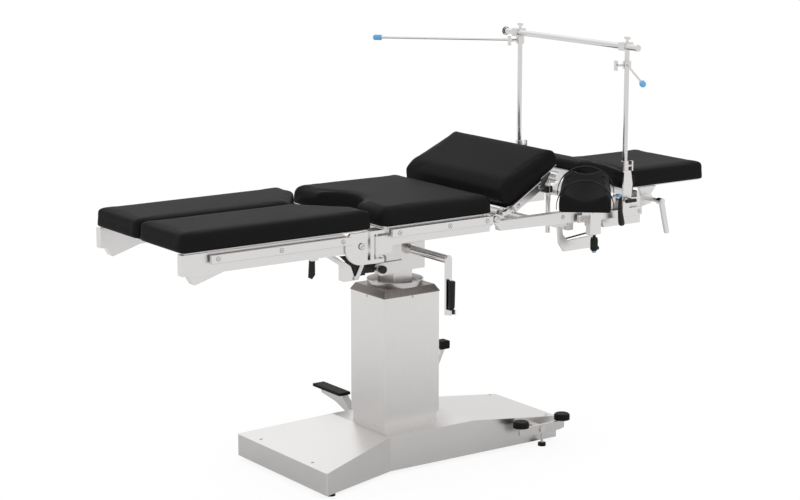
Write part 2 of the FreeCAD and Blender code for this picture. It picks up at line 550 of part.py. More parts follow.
trunnion = rod("trunnion", "y", "-saddle_half - side_gap - ear_thick - 3",
               "2 * (saddle_half + side_gap + ear_thick + 3)", "trunnion_radius", z="trunnion_height")
node("tilt_block", cut("tilt_head", joined("tilt_form", [cut("head_shell", head_box, head_room), eye_arm, eye_round,
                                                         tilt_pin, trunnion] + ears), eye_bore, crank_bore))

# Crank: a tube out of the tilt head, a flat arm and a grip that folds up beside the arm.
tube = rod("crank_tube", "y", "-crank_reach", "crank_reach - block_half_y + block_wall", "crank_radius",
           x="crank_along", z="crank_height")
collar = rod("crank_collar", "y", "-block_half_y - crank_collar_length - soft_gap", "crank_collar_length", "crank_collar",
             x="crank_along", z="crank_height")
arm_face = "-crank_reach - crank_arm_thick"
arm = slab("crank_arm_plate", "xz", arm_face, "crank_arm_thick", [
    ("crank_along - crank_arm_width / 2", "crank_height - crank_arm_length"),
    ("crank_along + crank_arm_width / 2", "crank_height - crank_arm_length"),
    ("crank_along + crank_arm_width / 2", "crank_height + 5"),
    ("crank_along + crank_arm_width / 4", "crank_height + crank_radius"),
    ("crank_along - crank_arm_width / 4", "crank_height + crank_radius"),
    ("crank_along - crank_arm_width / 2", "crank_height + 5")])
pivot_height = "crank_height - crank_arm_length + grip_radius"
pivot_across = "-crank_reach - crank_arm_thick - grip_outset"
clevis = []
for hand, start in (("a", "crank_along - crank_arm_width / 2"), ("b", "crank_along + crank_arm_width / 2 - 5")):
    clevis.append(block("clevis_" + hand, (start, f"{start} + 5"), (f"{pivot_across} - 8", "-crank_reach - 1"),
                        (f"{pivot_height} - 8", f"{pivot_height} + 8")))
pivot_pin = rod("grip_pin", "x", "crank_along - crank_arm_width / 2", "crank_arm_width", "grip_pin_radius",
                y=pivot_across, z=pivot_height)
node("crank_arm", joined("crank", [tube, collar, arm, pivot_pin] + clevis))
grip_core = joined("grip_core", [
    rod("grip_foot", "z", f"{pivot_height} + 12", "3", "grip_radius - 4", x="crank_along", y=pivot_across,
        end_radius="grip_radius - 1.5"),
    rod("grip_taper", "z", f"{pivot_height} + 15", "grip_length - 6", "grip_radius - 1.5", x="crank_along",
        y=pivot_across, end_radius="grip_radius"),
    rod("grip_crown", "z", f"{pivot_height} + grip_length + 9", "3", "grip_radius", x="crank_along", y=pivot_across,
        end_radius="grip_radius - 3")])
grip_tang = joined("grip_tang", [
    block("grip_tang_bar", ("crank_along - 5", "crank_along + 5"), (f"{pivot_across} - 5", f"{pivot_across} + 5"),
          (pivot_height, f"{pivot_height} + 13")),
    rod("grip_tang_eye", "x", "crank_along - 5", "10", "7", y=pivot_across, z=pivot_height)])
grip_bore = rod("grip_bore", "x", "crank_along - 6", "12", "grip_pin_radius + pin_clearance", y=pivot_across,
                z=pivot_height)
node("crank_grip", cut("grip", joined("grip_form", [grip_core, grip_tang]), grip_bore))


# Parts that the seat, leg rests and back share.
MEMBER_OUTER = "half_width + member_outset"
MEMBER_INNER = "half_width + member_outset - member_thick"
PAN_TOP = "pad_base - soft_gap"
PAN_LOW = "pad_base - soft_gap - sheet_thick"
RAIL_INNER = "half_width + member_outset + rail_gap"


def rail(name, side, start, end, low, inner=RAIL_INNER):
    """A flat accessory rail on three round spacers, with the heads of its screws."""
    bar = block(name + "_bar", (start, end), (outward(side, inner, "rail_thick"),
                f"{outward(side, inner, 'rail_thick')} + rail_thick"), (low, f"{low} + rail_height"))
    bar = softened(name + "_bar_soft", bar, "1.5", runs_along("x"))
    spacers = []
    for index in range(3):
        along = f"{start} + 28 + {index} / 2 * ({end} - ({start}) - 56)"
        spacers.append(rod(f"{name}_spacer_{index}", "y", outward(side, f"{inner} - rail_gap", "rail_gap"), "rail_gap",
                           "boss_radius", x=along, z=f"{low} + rail_height / 2"))
    return joined(name, [bar] + spacers)


def cushion(name, form):
    """A pad with rounded top and corner edges."""
    corners = softened(name + "_corners", form, "corner_round", runs_along("z"))
    return softened(name + "_crown", corners, "pad_round", lies_at_height("pad_base + pad_thick"))


# Seat: frame, pan and pad with the notch between the thighs.
members = []
for tag, side in SIDES.items():
    start = outward(side, MEMBER_INNER, "member_thick")
    member = slab("seat_member_" + tag, "xz", start, "member_thick", [
        ("seat_frame_start", "seat_rail_low - 1"), ("seat_frame_start + 10", "seat_rail_low - 1"),
        ("seat_frame_start + 10", "seat_frame_low"), ("seat_frame_end - 14", "seat_frame_low"),
        ("seat_frame_end - 14", PAN_LOW),
        ("seat_frame_start", PAN_LOW)])
    members.append(member)
    ear = outward(side, MEMBER_INNER, "member_thick / 2")
    members.append(slab("back_ear_" + tag, "xz", ear, "member_thick / 2", [
        ("seat_frame_end - 15", "seat_frame_low"), ("back_along", "back_height - hinge_eye"),
        ("back_along", "back_height + hinge_eye - 1"), ("seat_frame_end - 15", PAN_LOW)]))
    members.append(rod("back_eye_" + tag, "y", ear, "member_thick / 2", "hinge_eye - 1", x="back_along",
                       z="back_height"))
for hand, along in (("foot", "-150"), ("head", "150")):
    members.append(rod("seat_tube_" + hand, "y", f"-({MEMBER_INNER}) - 1", f"2 * ({MEMBER_INNER}) + 2", "cross_tube / 2",
                       x=along, z="seat_frame_low + 30"))
for tag, side in SIDES.items():
    members.append(block("seat_stringer_" + tag, ("-150", "150"), (f"{side} * 48 - 8", f"{side} * 48 + 8"),
                         ("seat_frame_low + 22", PAN_LOW)))
for tag, side in SIDES.items():
    low = f"{side} * spread_across - 16"
    members.append(block("leg_lug_" + tag, ("spread_along", "seat_frame_start + 11"), (low, f"{low} + 32"),
                         ("hinge_block_low", "hinge_block_high")))
    members.append(rod("leg_lug_round_" + tag, "z", "hinge_block_low", "hinge_block_high - hinge_block_low", "16",
                       x="spread_along", y=f"{side} * spread_across"))
seat_bores = []
for tag, side in SIDES.items():
    seat_bores.append(rod("spread_bore_" + tag, "z", "hinge_block_low - 1", "hinge_block_high - hinge_block_low + 2",
                          "spread_pin_radius + pin_clearance", x="spread_along", y=f"{side} * spread_across"))
seat_bores.append(rod("back_pin_bore", "y", f"-({MEMBER_OUTER}) - 1", f"2 * ({MEMBER_OUTER}) + 2",
                      "back_pin_radius + pin_clearance", x="back_along", z="back_height"))

notch_radius = "(cutout_half * cutout_half + cutout_depth * cutout_depth) / (2 * cutout_depth)"
notch_centre = f"seat_start + cutout_depth - {notch_radius}"


def seat_form(name, inset, low, thick):
    """The seat's plan with its round notch, drawn in by inset."""
    plate = slab(name + "_plan", "xy", low, thick, [
        (f"seat_start + {inset}", f"-half_width + {inset}"), (f"seat_end - {inset}", f"-half_width + {inset}"),
        (f"seat_end - {inset}", f"half_width - {inset}"), (f"seat_start + {inset}", f"half_width - {inset}")])
    notch = rod(name + "_notch", "z", f"{low} - 1", f"{thick} + 2", f"{notch_radius} + {inset}", x=notch_centre)
    return cut(name, plate, notch)


node("seat_pad", cushion("seat_cushion", seat_form("seat_pad_form", "0", "pad_base", "pad_thick")))
node("seat_rails", joined("seat_rail_pair", [
    rail("seat_rail_" + tag, side, "seat_rail_start", "seat_rail_end", "seat_rail_low") for tag, side in SIDES.items()]))

saddle_tube = rod("saddle_tube", "y", "-saddle_half", "2 * saddle_half", "ear_radius - 1", z="trunnion_height")
webs = [slab("saddle_web_" + tag, "xz", f"{side} * 48 - 6", "12", [
    ("-ear_radius + 2", "trunnion_height"), ("ear_radius - 2", "trunnion_height"), ("70", "seat_frame_low + 22"),
    ("-70", "seat_frame_low + 22")]) for tag, side in SIDES.items()]
saddle_bore = rod("saddle_bore", "y", "-saddle_half - 1", "2 * saddle_half + 2", "trunnion_radius + pin_clearance",
                  z="trunnion_height")
seat_pan = seat_form("seat_pan", "pan_edge", PAN_LOW, "sheet_thick")
node("seat_frame", cut("seat_weldment", joined("seat_solid", members + [seat_pan, saddle_tube] + webs), saddle_bore,
                       *seat_bores))

# Leg rests: a hinge bracket that swings out, and a rest that folds down from it.
for tag, side in SIDES.items():
    pivot_y = f"{side} * spread_across"
    plate_start = outward(side, "half_width + side_gap", "fold_plate_thick")
    plate_round = rod("fold_plate_disc_" + tag, "y", plate_start, "fold_plate_thick", "fold_reach", x="fold_along", z="fold_height")
    plate_keep = slab("fold_plate_keep_" + tag, "xz", plate_start, "fold_plate_thick", [
        ("fold_along - fold_reach - 1", "fold_height - fold_reach - 1"), ("fold_plate_end", "fold_height - fold_reach - 1"),
        ("fold_plate_end", PAN_LOW), ("fold_along - fold_reach - 1", PAN_LOW)])
    plate = common("fold_plate_" + tag, plate_round, plate_keep)
    post_wide = "half_width + side_gap + fold_plate_thick - bracket_inner"
    post = slab("bracket_post_" + tag, "xz", outward(side, "bracket_inner", post_wide), post_wide, [
        ("bracket_start", "bracket_low"), ("spread_along + 12", "bracket_low"),
        ("spread_along + 12", "bracket_low + bracket_arm"), ("bracket_start + bracket_post", "bracket_low + bracket_arm"),
        ("bracket_start + bracket_post", "bracket_high - bracket_arm"), ("spread_along + 12", "bracket_high - bracket_arm"),
        ("spread_along + 12", PAN_LOW), ("bracket_start", PAN_LOW)])
    foot = block("bracket_foot_" + tag, ("fold_plate_end - 16", "bracket_start + 1"),
                 (plate_start, f"{plate_start} + fold_plate_thick"), ("bracket_low", "bracket_low + bracket_arm"))
    spread_pin = rod("spread_pin_" + tag, "z", "bracket_low + 2", "bracket_high - bracket_low - 6", "spread_pin_radius",
                     x="spread_along", y=pivot_y)
    spread_collar = rod("spread_collar_" + tag, "z", "bracket_low + bracket_arm",
                        "hinge_block_low - soft_gap - bracket_low - bracket_arm", "spread_pin_radius + 4",
                        x="spread_along", y=pivot_y)
    fold_pin = rod("fold_pin_" + tag, "y", outward(side, MEMBER_INNER, "member_thick + 9"), "member_thick + 9",
                   "fold_pin_radius", x="fold_along", z="fold_height")
    node("leg_bracket_" + tag, joined("leg_bracket_form_" + tag, [plate, post, foot, spread_pin, spread_collar, fold_pin]))

    member_start = outward(side, MEMBER_INNER, "member_thick")
    member = slab("leg_member_" + tag, "xz", member_start, "member_thick", [
        ("leg_start - 3", "leg_low"), ("leg_start + 17", "leg_low"), ("leg_start + 34", "leg_hook_low"),
        ("leg_start + 62", "leg_hook_low + 8"), ("leg_start + 132", "leg_low"),
        ("fold_along - fold_reach", "leg_low"), ("fold_along - fold_reach", PAN_LOW), ("leg_start - 3", PAN_LOW)])
    hook_test = runs_along("y")
    rounded(member, "6", lambda edge: hook_test(edge) and abs(
        edge.Vertexes[0].Point.z - number("leg_hook_low")) < 9)
    tongue_start = outward(side, MEMBER_INNER, "member_thick - member_outset")
    tongue = slab("leg_tongue_" + tag, "xz", tongue_start, "member_thick - member_outset", [
        ("fold_along - fold_reach - 8", "leg_low"), ("fold_along", "fold_height - fold_eye"),
        ("fold_along", "fold_height + fold_eye"), ("fold_along - fold_reach - 8", PAN_LOW)])
    tongue_eye = rod("leg_eye_" + tag, "y", tongue_start, "member_thick - member_outset", "fold_eye", x="fold_along",
                     z="fold_height")
    lever_lug = block("lever_lug_" + tag, ("lever_along - 12", "lever_along + 12"),
                      (outward(side, "lever_across + lever_thick + side_gap", "14"),
                       f"{outward(side, 'lever_across + lever_thick + side_gap', '14')} + 14"),
                      ("lever_pivot_high - 10", "leg_low + 4"))
    lever_pin = rod("lever_pin_" + tag, "y", outward(side, "lever_across - 3", "lever_thick + 12"), "lever_thick + 12",
                    "grip_pin_radius", x="lever_along", z="lever_pivot_high")
    lock_box = block("lock_box_" + tag, ("fold_along - 32", "fold_along + 6"), (outward(side, "lock_across", "24"),
                     f"{outward(side, 'lock_across', '24')} + 24"), ("fold_height - 113", "fold_height - 59"))
    lock_strap = slab("lock_strap_" + tag, "xz", outward(side, "lock_across + 24", "6"), "6", [
        ("fold_along - 112", "leg_low + 2"), ("fold_along - 84", "leg_low + 2"), ("fold_along + 6", "fold_height - 76"),
        ("fold_along + 6", "fold_height - 113"), ("fold_along - 32", "fold_height - 113"),
        ("fold_along - 32", "fold_height - 70")])
    strap_foot = block("lock_strap_foot_" + tag, ("fold_along - 112", "fold_along - 84"),
                       (outward(side, "lock_across + 24", f"{MEMBER_INNER} - lock_across - 23"),
                        f"{outward(side, 'lock_across + 24', f'{MEMBER_INNER} - lock_across - 23')} + {MEMBER_INNER} - lock_across - 23"),
                       ("leg_low + 0.5", "leg_low + 6.5"))
    inner_edge = outward(side, "leg_gap / 2 + pan_edge", "14")
    inner_member = block("leg_inner_" + tag, ("leg_start + 100", "leg_end - leg_cut_along - 30"),
                         (inner_edge, f"{inner_edge} + 14"), ("leg_low + 24", PAN_LOW))
    tubes = [rod(f"leg_tube_{tag}_{hand}", "y", outward(side, "leg_gap / 2 + pan_edge + 10",
                 f"{MEMBER_INNER} - leg_gap / 2 - pan_edge - 9"), f"{MEMBER_INNER} - leg_gap / 2 - pan_edge - 9",
                 "cross_tube / 2 - 2", x=along, z="leg_low + 42")
             for hand, along in (("foot", "leg_start + 110"), ("head", "leg_end - leg_cut_along - 50"))]
    clear_disc = rod("leg_disc_room_" + tag, "y", outward(side, "half_width", "4"), "4",
                     "fold_reach + side_gap", x="fold_along", z="fold_height")
    fold_bore = rod("fold_bore_" + tag, "y", outward(side, f"{MEMBER_INNER} - 1", "member_thick + 2"), "member_thick + 2",
                    "fold_pin_radius + pin_clearance", x="fold_along", z="fold_height")

    def leg_plan(name, inset, low, thick):
        """A leg rest's plan, its inner corner cut away beside the seat's notch."""
        across = [f"leg_gap / 2 + {inset}", f"leg_gap / 2 + leg_cut_across + {inset}", f"half_width - {inset}"]
        return slab(name, "xy", low, thick, [
            (f"leg_start + {inset}", f"{side} * ({across[0]})"),
            (f"leg_end - leg_cut_along - {inset}", f"{side} * ({across[0]})"),
            (f"leg_end - {inset}", f"{side} * ({across[1]})"), (f"leg_end - {inset}", f"{side} * ({across[2]})"),
            (f"leg_start + {inset}", f"{side} * ({across[2]})")])

    leg_pan = leg_plan("leg_pan_" + tag, "pan_edge", PAN_LOW, "sheet_thick")
    node("leg_frame_" + tag, cut("leg_weldment_" + tag, joined("leg_solid_" + tag, [
        member, tongue, tongue_eye, lever_lug, lever_pin, lock_box, lock_strap, strap_foot, inner_member, leg_pan] +
        tubes), clear_disc, fold_bore))
    node("leg_pad_" + tag, cushion("leg_cushion_" + tag, leg_plan("leg_pad_plan_" + tag, "0", "pad_base", "pad_thick")))
    node("leg_rail_" + tag, rail("leg_rail_bar_" + tag, side, "leg_rail_start", "leg_rail_end", "leg_rail_low"))

    lever_start = outward(side, "lever_across", "lever_thick")
    lever = slab("lever_plate_" + tag, "xz", lever_start, "lever_thick", [
        ("lever_along - 9", "lever_pivot_high - 4"), ("lever_along - 13", "lever_pivot_high - lever_drop"),
        ("lever_along - 2", "lever_pivot_high - lever_drop - 6"), ("lever_along + 9", "lever_pivot_high - lever_drop + 6"),
        ("lever_along + 9", "lever_pivot_high - 4")])
    lever_eye = rod("lever_eye_" + tag, "y", lever_start, "lever_thick", "9", x="lever_along", z="lever_pivot_high")
    lever_bore = rod("lever_bore_" + tag, "y", outward(side, "lever_across - 1", "lever_thick + 2"), "lever_thick + 2",
                     "grip_pin_radius + pin_clearance", x="lever_along", z="lever_pivot_high")
    node("leg_release_lever_" + tag, cut("lever_" + tag, joined("lever_form_" + tag, [lever, lever_eye]), lever_bore))


# Back section: two beams that turn about the seat's head end, with upright end plates.
BEAM_START = "back_along + hinge_eye + 2"
pieces = []
for tag, side in SIDES.items():
    start = outward(side, MEMBER_INNER, "member_thick")
    outer_half = outward(side, f"{MEMBER_INNER} + member_thick / 2 + side_gap", "member_thick / 2 - side_gap")
    inner_half = outward(side, MEMBER_INNER, "member_thick / 2 - side_gap")
    pieces.append(slab("beam_" + tag, "xz", start, "member_thick", [
        (BEAM_START, "beam_low + 4"), ("end_plate_start - 60", "beam_low - 4"), ("end_plate_start - 50", "end_plate_low"),
        ("beam_end", "end_plate_low"), ("beam_end", "end_plate_high - end_plate_round"),
        ("beam_end - end_plate_round / 3", "end_plate_high - end_plate_round / 3"),
        ("beam_end - end_plate_round * 0.7", "end_plate_high"), ("end_plate_start + 88", "end_plate_high"),
        ("end_plate_start + 88", "pad_base - 8"), ("end_plate_start", "pad_base - 8"),
        ("end_plate_start - 14", "beam_high"), (BEAM_START, "beam_high")]))
    pieces.append(slab("beam_root_" + tag, "xz", outer_half, "member_thick / 2 - side_gap", [
        ("back_along", "back_height - hinge_eye + 1"), (BEAM_START + " + 1", "beam_low + 4"),
        (BEAM_START + " + 1", "beam_high"), ("back_along", "back_height + hinge_eye - 1")]))
    pieces.append(rod("beam_eye_" + tag, "y", outer_half, "member_thick / 2 - side_gap", "hinge_eye - 1",
                      x="back_along", z="back_height"))
    pieces.append(rod("back_pin_" + tag, "y", outward(side, f"{MEMBER_INNER} - 4", "member_thick + 8"),
                      "member_thick + 8", "back_pin_radius", x="back_along", z="back_height"))
    pieces.append(slab("flap_lug_" + tag, "xz", inner_half, "member_thick / 2 - side_gap", [
        ("flap_axis - 14", "beam_high - 2"), ("flap_axis + 14", "beam_high - 2"), ("flap_axis + 7", "flap_height + 8"),
        ("flap_axis - 7", "flap_height + 8")]))
    pieces.append(rod("flap_pin_" + tag, "y", outward(side, f"{MEMBER_INNER} + 2", "member_thick - 2"), "member_thick - 2",
                      "flap_pin_radius", x="flap_axis", z="flap_height"))
    pieces.append(rod("bridge_pin_" + tag, "y", outward(side, f"{MEMBER_INNER} - 18", "20"), "20", "flap_pin_radius",
                      x="bridge_axis", z="bridge_height"))
for hand, along, height in (("foot", "330", "beam_low + 17"), ("head", "beam_end - 14", "end_plate_low + 40")):
    pieces.append(rod("back_tube_" + hand, "y", f"-({MEMBER_INNER}) - 1", f"2 * ({MEMBER_INNER}) + 2", "back_tube_radius",
                      x=along, z=height))
pieces.append(block("guide_bar", ("kidney_along - 12", "kidney_along + 12"), (f"-({MEMBER_INNER}) - 1", f"{MEMBER_INNER} + 1"),
                    ("guide_low", "guide_low + guide_high")))
for tag, side in SIDES.items():
    pieces.append(block("guide_hanger_" + tag, ("kidney_along - 12", "kidney_along + 12"),
                        (outward(side, f"{MEMBER_INNER} - 8", "9"), f"{outward(side, f'{MEMBER_INNER} - 8', '9')} + 9"),
                        ("guide_low", "beam_low + 14")))
guide_bores = [rod("guide_bore_" + tag, "z", "guide_low - 1", "guide_high + 2", "guide_radius + pin_clearance", x="kidney_along",
                   y=f"{side} * guide_across") for tag, side in SIDES.items()]
pieces.append(block("handle_lug", ("release_x - 12", "release_x + 12"), (f"-({MEMBER_INNER}) - 6", f"-({MEMBER_INNER}) + 12"),
                    ("release_z - 9", "beam_low + 12")))
pieces.append(rod("handle_pin", "y", f"-({MEMBER_INNER}) + 10", "18", "grip_pin_radius", x="release_x", z="release_z"))
node("back_frame", cut("back_weldment", joined("back_solid", pieces), *guide_bores))
release = slab("release_plate", "xz", f"-({MEMBER_INNER}) + 16", "8", [
    ("release_x - 8", "release_z"), ("release_x - 2", "release_z - 66"), ("release_x + 20", "release_z - 96"),
    ("release_x + 150", "release_z - 96"), ("release_x + 152", "release_z - 56"), ("release_x + 34", "release_z - 62"),
    ("release_x + 14", "release_z - 40"), ("release_x + 8", "release_z")])
release_eye = rod("release_eye", "y", f"-({MEMBER_INNER}) + 16", "8", "9", x="release_x", z="release_z")
release_bore = rod("release_bore", "y", f"-({MEMBER_INNER}) + 15", "10", "grip_pin_radius + pin_clearance",
                   x="release_x", z="release_z")
node("back_release_handle", cut("release_handle", joined("release_form", [release, release_eye]), release_bore))
node("back_rails", joined("back_rail_pair", [
    rail("back_rail_" + tag, side, "back_rail_start", "back_rail_end", "back_rail_low") for tag, side in SIDES.items()]))

# Kidney bridge: a round bar on two guide posts lifts the two flaps into a ridge.
bridge = [rod("kidney_round", "y", "-kidney_half", "2 * kidney_half", "kidney_radius", x="kidney_along", z="kidney_height")]
for tag, side in SIDES.items():
    bridge.append(rod("guide_post_" + tag, "z", "kidney_height - kidney_post", "kidney_post", "guide_radius",
                      x="kidney_along", y=f"{side} * guide_across"))
    bridge.append(block("kidney_block_" + tag, ("kidney_along - 13", "kidney_along + 13"),
                        (f"{side} * guide_across - 20", f"{side} * guide_across + 20"),
                        ("kidney_height - 24", "kidney_height")))
node("kidney_bar", joined("kidney_bridge", bridge))
yoke = slab("yoke_block", "xz", "-yoke_half", "2 * yoke_half", [
    ("kidney_along - 12", "yoke_low + 3"), ("kidney_along - 9", "yoke_low"), ("kidney_along + 9", "yoke_low"),
    ("kidney_along + 12", "yoke_low + 3"), ("kidney_along + 12", "yoke_low + 19"), ("kidney_along + 9", "yoke_low + 22"),
    ("kidney_along - 9", "yoke_low + 22"), ("kidney_along - 12", "yoke_low + 19")])
yoke_bores = [rod("yoke_bore_" + tag, "z", "yoke_low - 1", "24", "guide_radius + pin_clearance", x="kidney_along",
                  y=f"{side} * guide_across") for tag, side in SIDES.items()]
node("kidney_yoke", cut("yoke", yoke, *yoke_bores))


def side_flange(name, side, y_inner, thick, corners):
    """An upright strip under a flap."""
    return slab(f"{name}_{'far' if side > 0 else 'near'}", "xz", outward(side, y_inner, thick), thick, corners)


flap_end = "flap_start + flap_length"
lower = [block("flap_sheet", ("flap_start - 6", f"{flap_end} - 8"), ("-half_width + pan_edge", "half_width - pan_edge"),
               ("flap_base - soft_gap - sheet_thick", "flap_base - soft_gap"))]
FLAP_EAR = f"{MEMBER_INNER} + member_thick / 2 + side_gap"
for tag, side in SIDES.items():
    lower.append(side_flange("flap_flange", side, FLAP_EAR, "member_thick / 2 - side_gap", [
        ("flap_axis", "flap_height - 7"), ("flap_start + 20", "flap_height - 18"), ("flap_start + 150", "flap_height - 18"),
        ("flap_start + 190", "flap_base - soft_gap - sheet_thick"), ("flap_axis", "flap_base - soft_gap - sheet_thick")]))
    lower.append(rod("flap_eye_" + tag, "y", outward(side, FLAP_EAR, "member_thick / 2 - side_gap"),
                     "member_thick / 2 - side_gap", "7", x="flap_axis", z="flap_height"))
    lower.append(side_flange("flap_web", side, "half_width - pan_edge - 4", "14.5", [
        ("flap_start + 4", "flap_height - 9"), ("flap_start + 150", "flap_height - 9"),
        ("flap_start + 150", "flap_base - soft_gap"), ("flap_start + 4", "flap_base - soft_gap")]))
flap_bores = [rod("flap_bore_" + tag, "y", outward(side, f"{FLAP_EAR} - 1", "member_thick / 2 + 2"), "member_thick / 2 + 2",
                  "flap_pin_radius + pin_clearance", x="flap_axis", z="flap_height") for tag, side in SIDES.items()]
lower_frame = cut("flap_weldment", joined("flap_solid", lower), *flap_bores)
lower_rails = joined("flap_rail_pair", [
    rail("flap_rail_" + tag, side, "flap_start + 5", "flap_start + 132", "flap_height - 13.8") for tag, side in SIDES.items()])
node("lower_flap_frame", turned(joined("flap_assembly", [lower_frame, lower_rails]), "flap_axis", "flap_height",
                                "flap_angle"))
lower_cushion = slab("flap_cushion", "xz", "-half_width", "2 * half_width", [
    ("flap_start", "flap_base"), (flap_end, "flap_base"), (flap_end, "flap_base + flap_thin"),
    ("flap_start", "flap_base + flap_thick")])
rounded(lower_cushion, "pad_round", lambda edge: max(vertex.Point.z for vertex in edge.Vertexes) > number("flap_base") + 1)
node("lower_flap_pad", turned(lower_cushion, "flap_axis", "flap_height", "flap_angle"))

upper_sheet = block("bridge_sheet", ("bridge_start + 8", "bridge_end - 2"), ("-half_width + pan_edge", "half_width - pan_edge"),
                    (PAN_LOW, PAN_TOP))
upper = [upper_sheet]
upper_bores = []
for tag, side in SIDES.items():
    ear = outward(side, f"{MEMBER_INNER} - side_gap - 12", "12")
    upper.append(slab("bridge_flange_" + tag, "xz", ear, "12", [
        ("bridge_start + 80", PAN_LOW), ("bridge_axis - 60", "bridge_height - 9"), ("bridge_axis", "bridge_height - 9"),
        ("bridge_axis", PAN_LOW + " + 1"), ("bridge_start + 80", PAN_LOW + " + 1")]))
    upper.append(rod("bridge_eye_" + tag, "y", ear, "12", "9", x="bridge_axis", z="bridge_height"))
    upper_bores.append(rod("bridge_bore_" + tag, "y", outward(side, f"{MEMBER_INNER} - side_gap - 13", "14"), "14",
                           "flap_pin_radius + pin_clearance", x="bridge_axis", z="bridge_height"))
node("upper_flap_frame", turned(cut("bridge_weldment", joined("bridge_solid", upper), *upper_bores),
                                "bridge_axis", "bridge_height", "-bridge_angle"))
upper_cushion = slab("bridge_cushion", "xy", "pad_base", "pad_thick", [
    ("bridge_start", "-half_width"), ("bridge_end", "-half_width"), ("bridge_end", "half_width"),
    ("bridge_start", "half_width")])
node("upper_flap_pad", turned(cushion("bridge_pad", upper_cushion), "bridge_axis", "bridge_height", "-bridge_angle"))

# Head rest: two arms from the back's end tube carry the hinge of the plate and its pad.
arms = []
for tag, side in SIDES.items():
    arm_start = outward(side, "head_arm_across", "head_arm_thick")
    arms.append(slab("head_arm_" + tag, "xz", arm_start, "head_arm_thick", [
        ("beam_end - 26", "end_plate_low + 28"), ("beam_end + 20", "end_plate_low + 26"),
        ("head_axis", "head_height - head_eye"), ("head_axis", "head_height + head_eye"),
        ("beam_end + 6", "end_plate_low + 66"), ("beam_end - 26", "end_plate_low + 52")]))
    arms.append(rod("head_arm_eye_" + tag, "y", arm_start, "head_arm_thick", "head_eye", x="head_axis", z="head_height"))
arms.append(rod("head_shaft", "y", "-head_arm_across - head_arm_thick - 69", "2 * head_arm_across + 2 * head_arm_thick + 75",
                "head_shaft_radius", x="head_axis", z="head_height"))
end_tube_room = rod("end_tube_room", "y", "-head_arm_across - head_arm_thick - 1", "2 * (head_arm_across + head_arm_thick + 1)",
                    "back_tube_radius", x="beam_end - 14", z="end_plate_low + 40")
node("head_bracket", cut("head_bracket_solid", joined("head_arms", arms), end_tube_room))
head_sheet_low = "head_base - soft_gap - sheet_thick"
plate_pieces = [block("head_sheet", ("head_start + 6", "head_end - 10"), ("-head_half + 8", "head_half - 8"),
                      (head_sheet_low, "head_base - soft_gap"))]
for tag, side in SIDES.items():
    lug_start = outward(side, "head_arm_across - side_gap - 12", "12")
    plate_pieces.append(slab("head_lug_" + tag, "xz", lug_start, "12", [
        ("head_axis - 12", "head_height"), ("head_axis + 12", "head_height"), ("head_axis + 44", head_sheet_low + " + 1"),
        ("head_axis - 30", head_sheet_low + " + 1")]))
    plate_pieces.append(rod("head_lug_eye_" + tag, "y", lug_start, "12", "12", x="head_axis", z="head_height"))
head_bore = rod("head_bore", "y", "-head_arm_across", "2 * head_arm_across", "head_shaft_radius + pin_clearance", x="head_axis",
                z="head_height")
node("head_plate", cut("head_plate_weldment", joined("head_plate_solid", plate_pieces), head_bore))
head_form = slab("head_pad_plan", "xy", "head_base", "head_thick", [
    ("head_start", "-head_half"), ("head_end", "-head_half"), ("head_end", "head_half"), ("head_start", "head_half")])
head_corners = softened("head_pad_corners", head_form, "corner_round", runs_along("z"))
node("head_pad", softened("head_pad_crown", head_corners, "pad_round", lies_at_height("head_base + head_thick")))
hub_start = "-head_arm_across - head_arm_thick - 67"
hub = rod("head_lever_hub", "y", hub_start, "20", "11", x="head_axis", z="head_height")
hub_bore = rod("head_lever_bore", "y", f"{hub_start} - 1", "22", "head_shaft_radius + pin_clearance", x="head_axis",
               z="head_height")
handle = slab("head_lever_handle", "xz", f"{hub_start} + 2", "9", [
    ("head_axis - 8", "head_height"), ("head_axis + 20", "head_height - head_lever_drop"),
    ("head_axis + 36", "head_height - head_lever_drop"), ("head_axis + 10", "head_height")])
rounded(handle, "3.5", runs_along("y"))
node("head_clamp_lever", cut("head_lever", joined("head_lever_form", [hub, handle]), hub_bore))


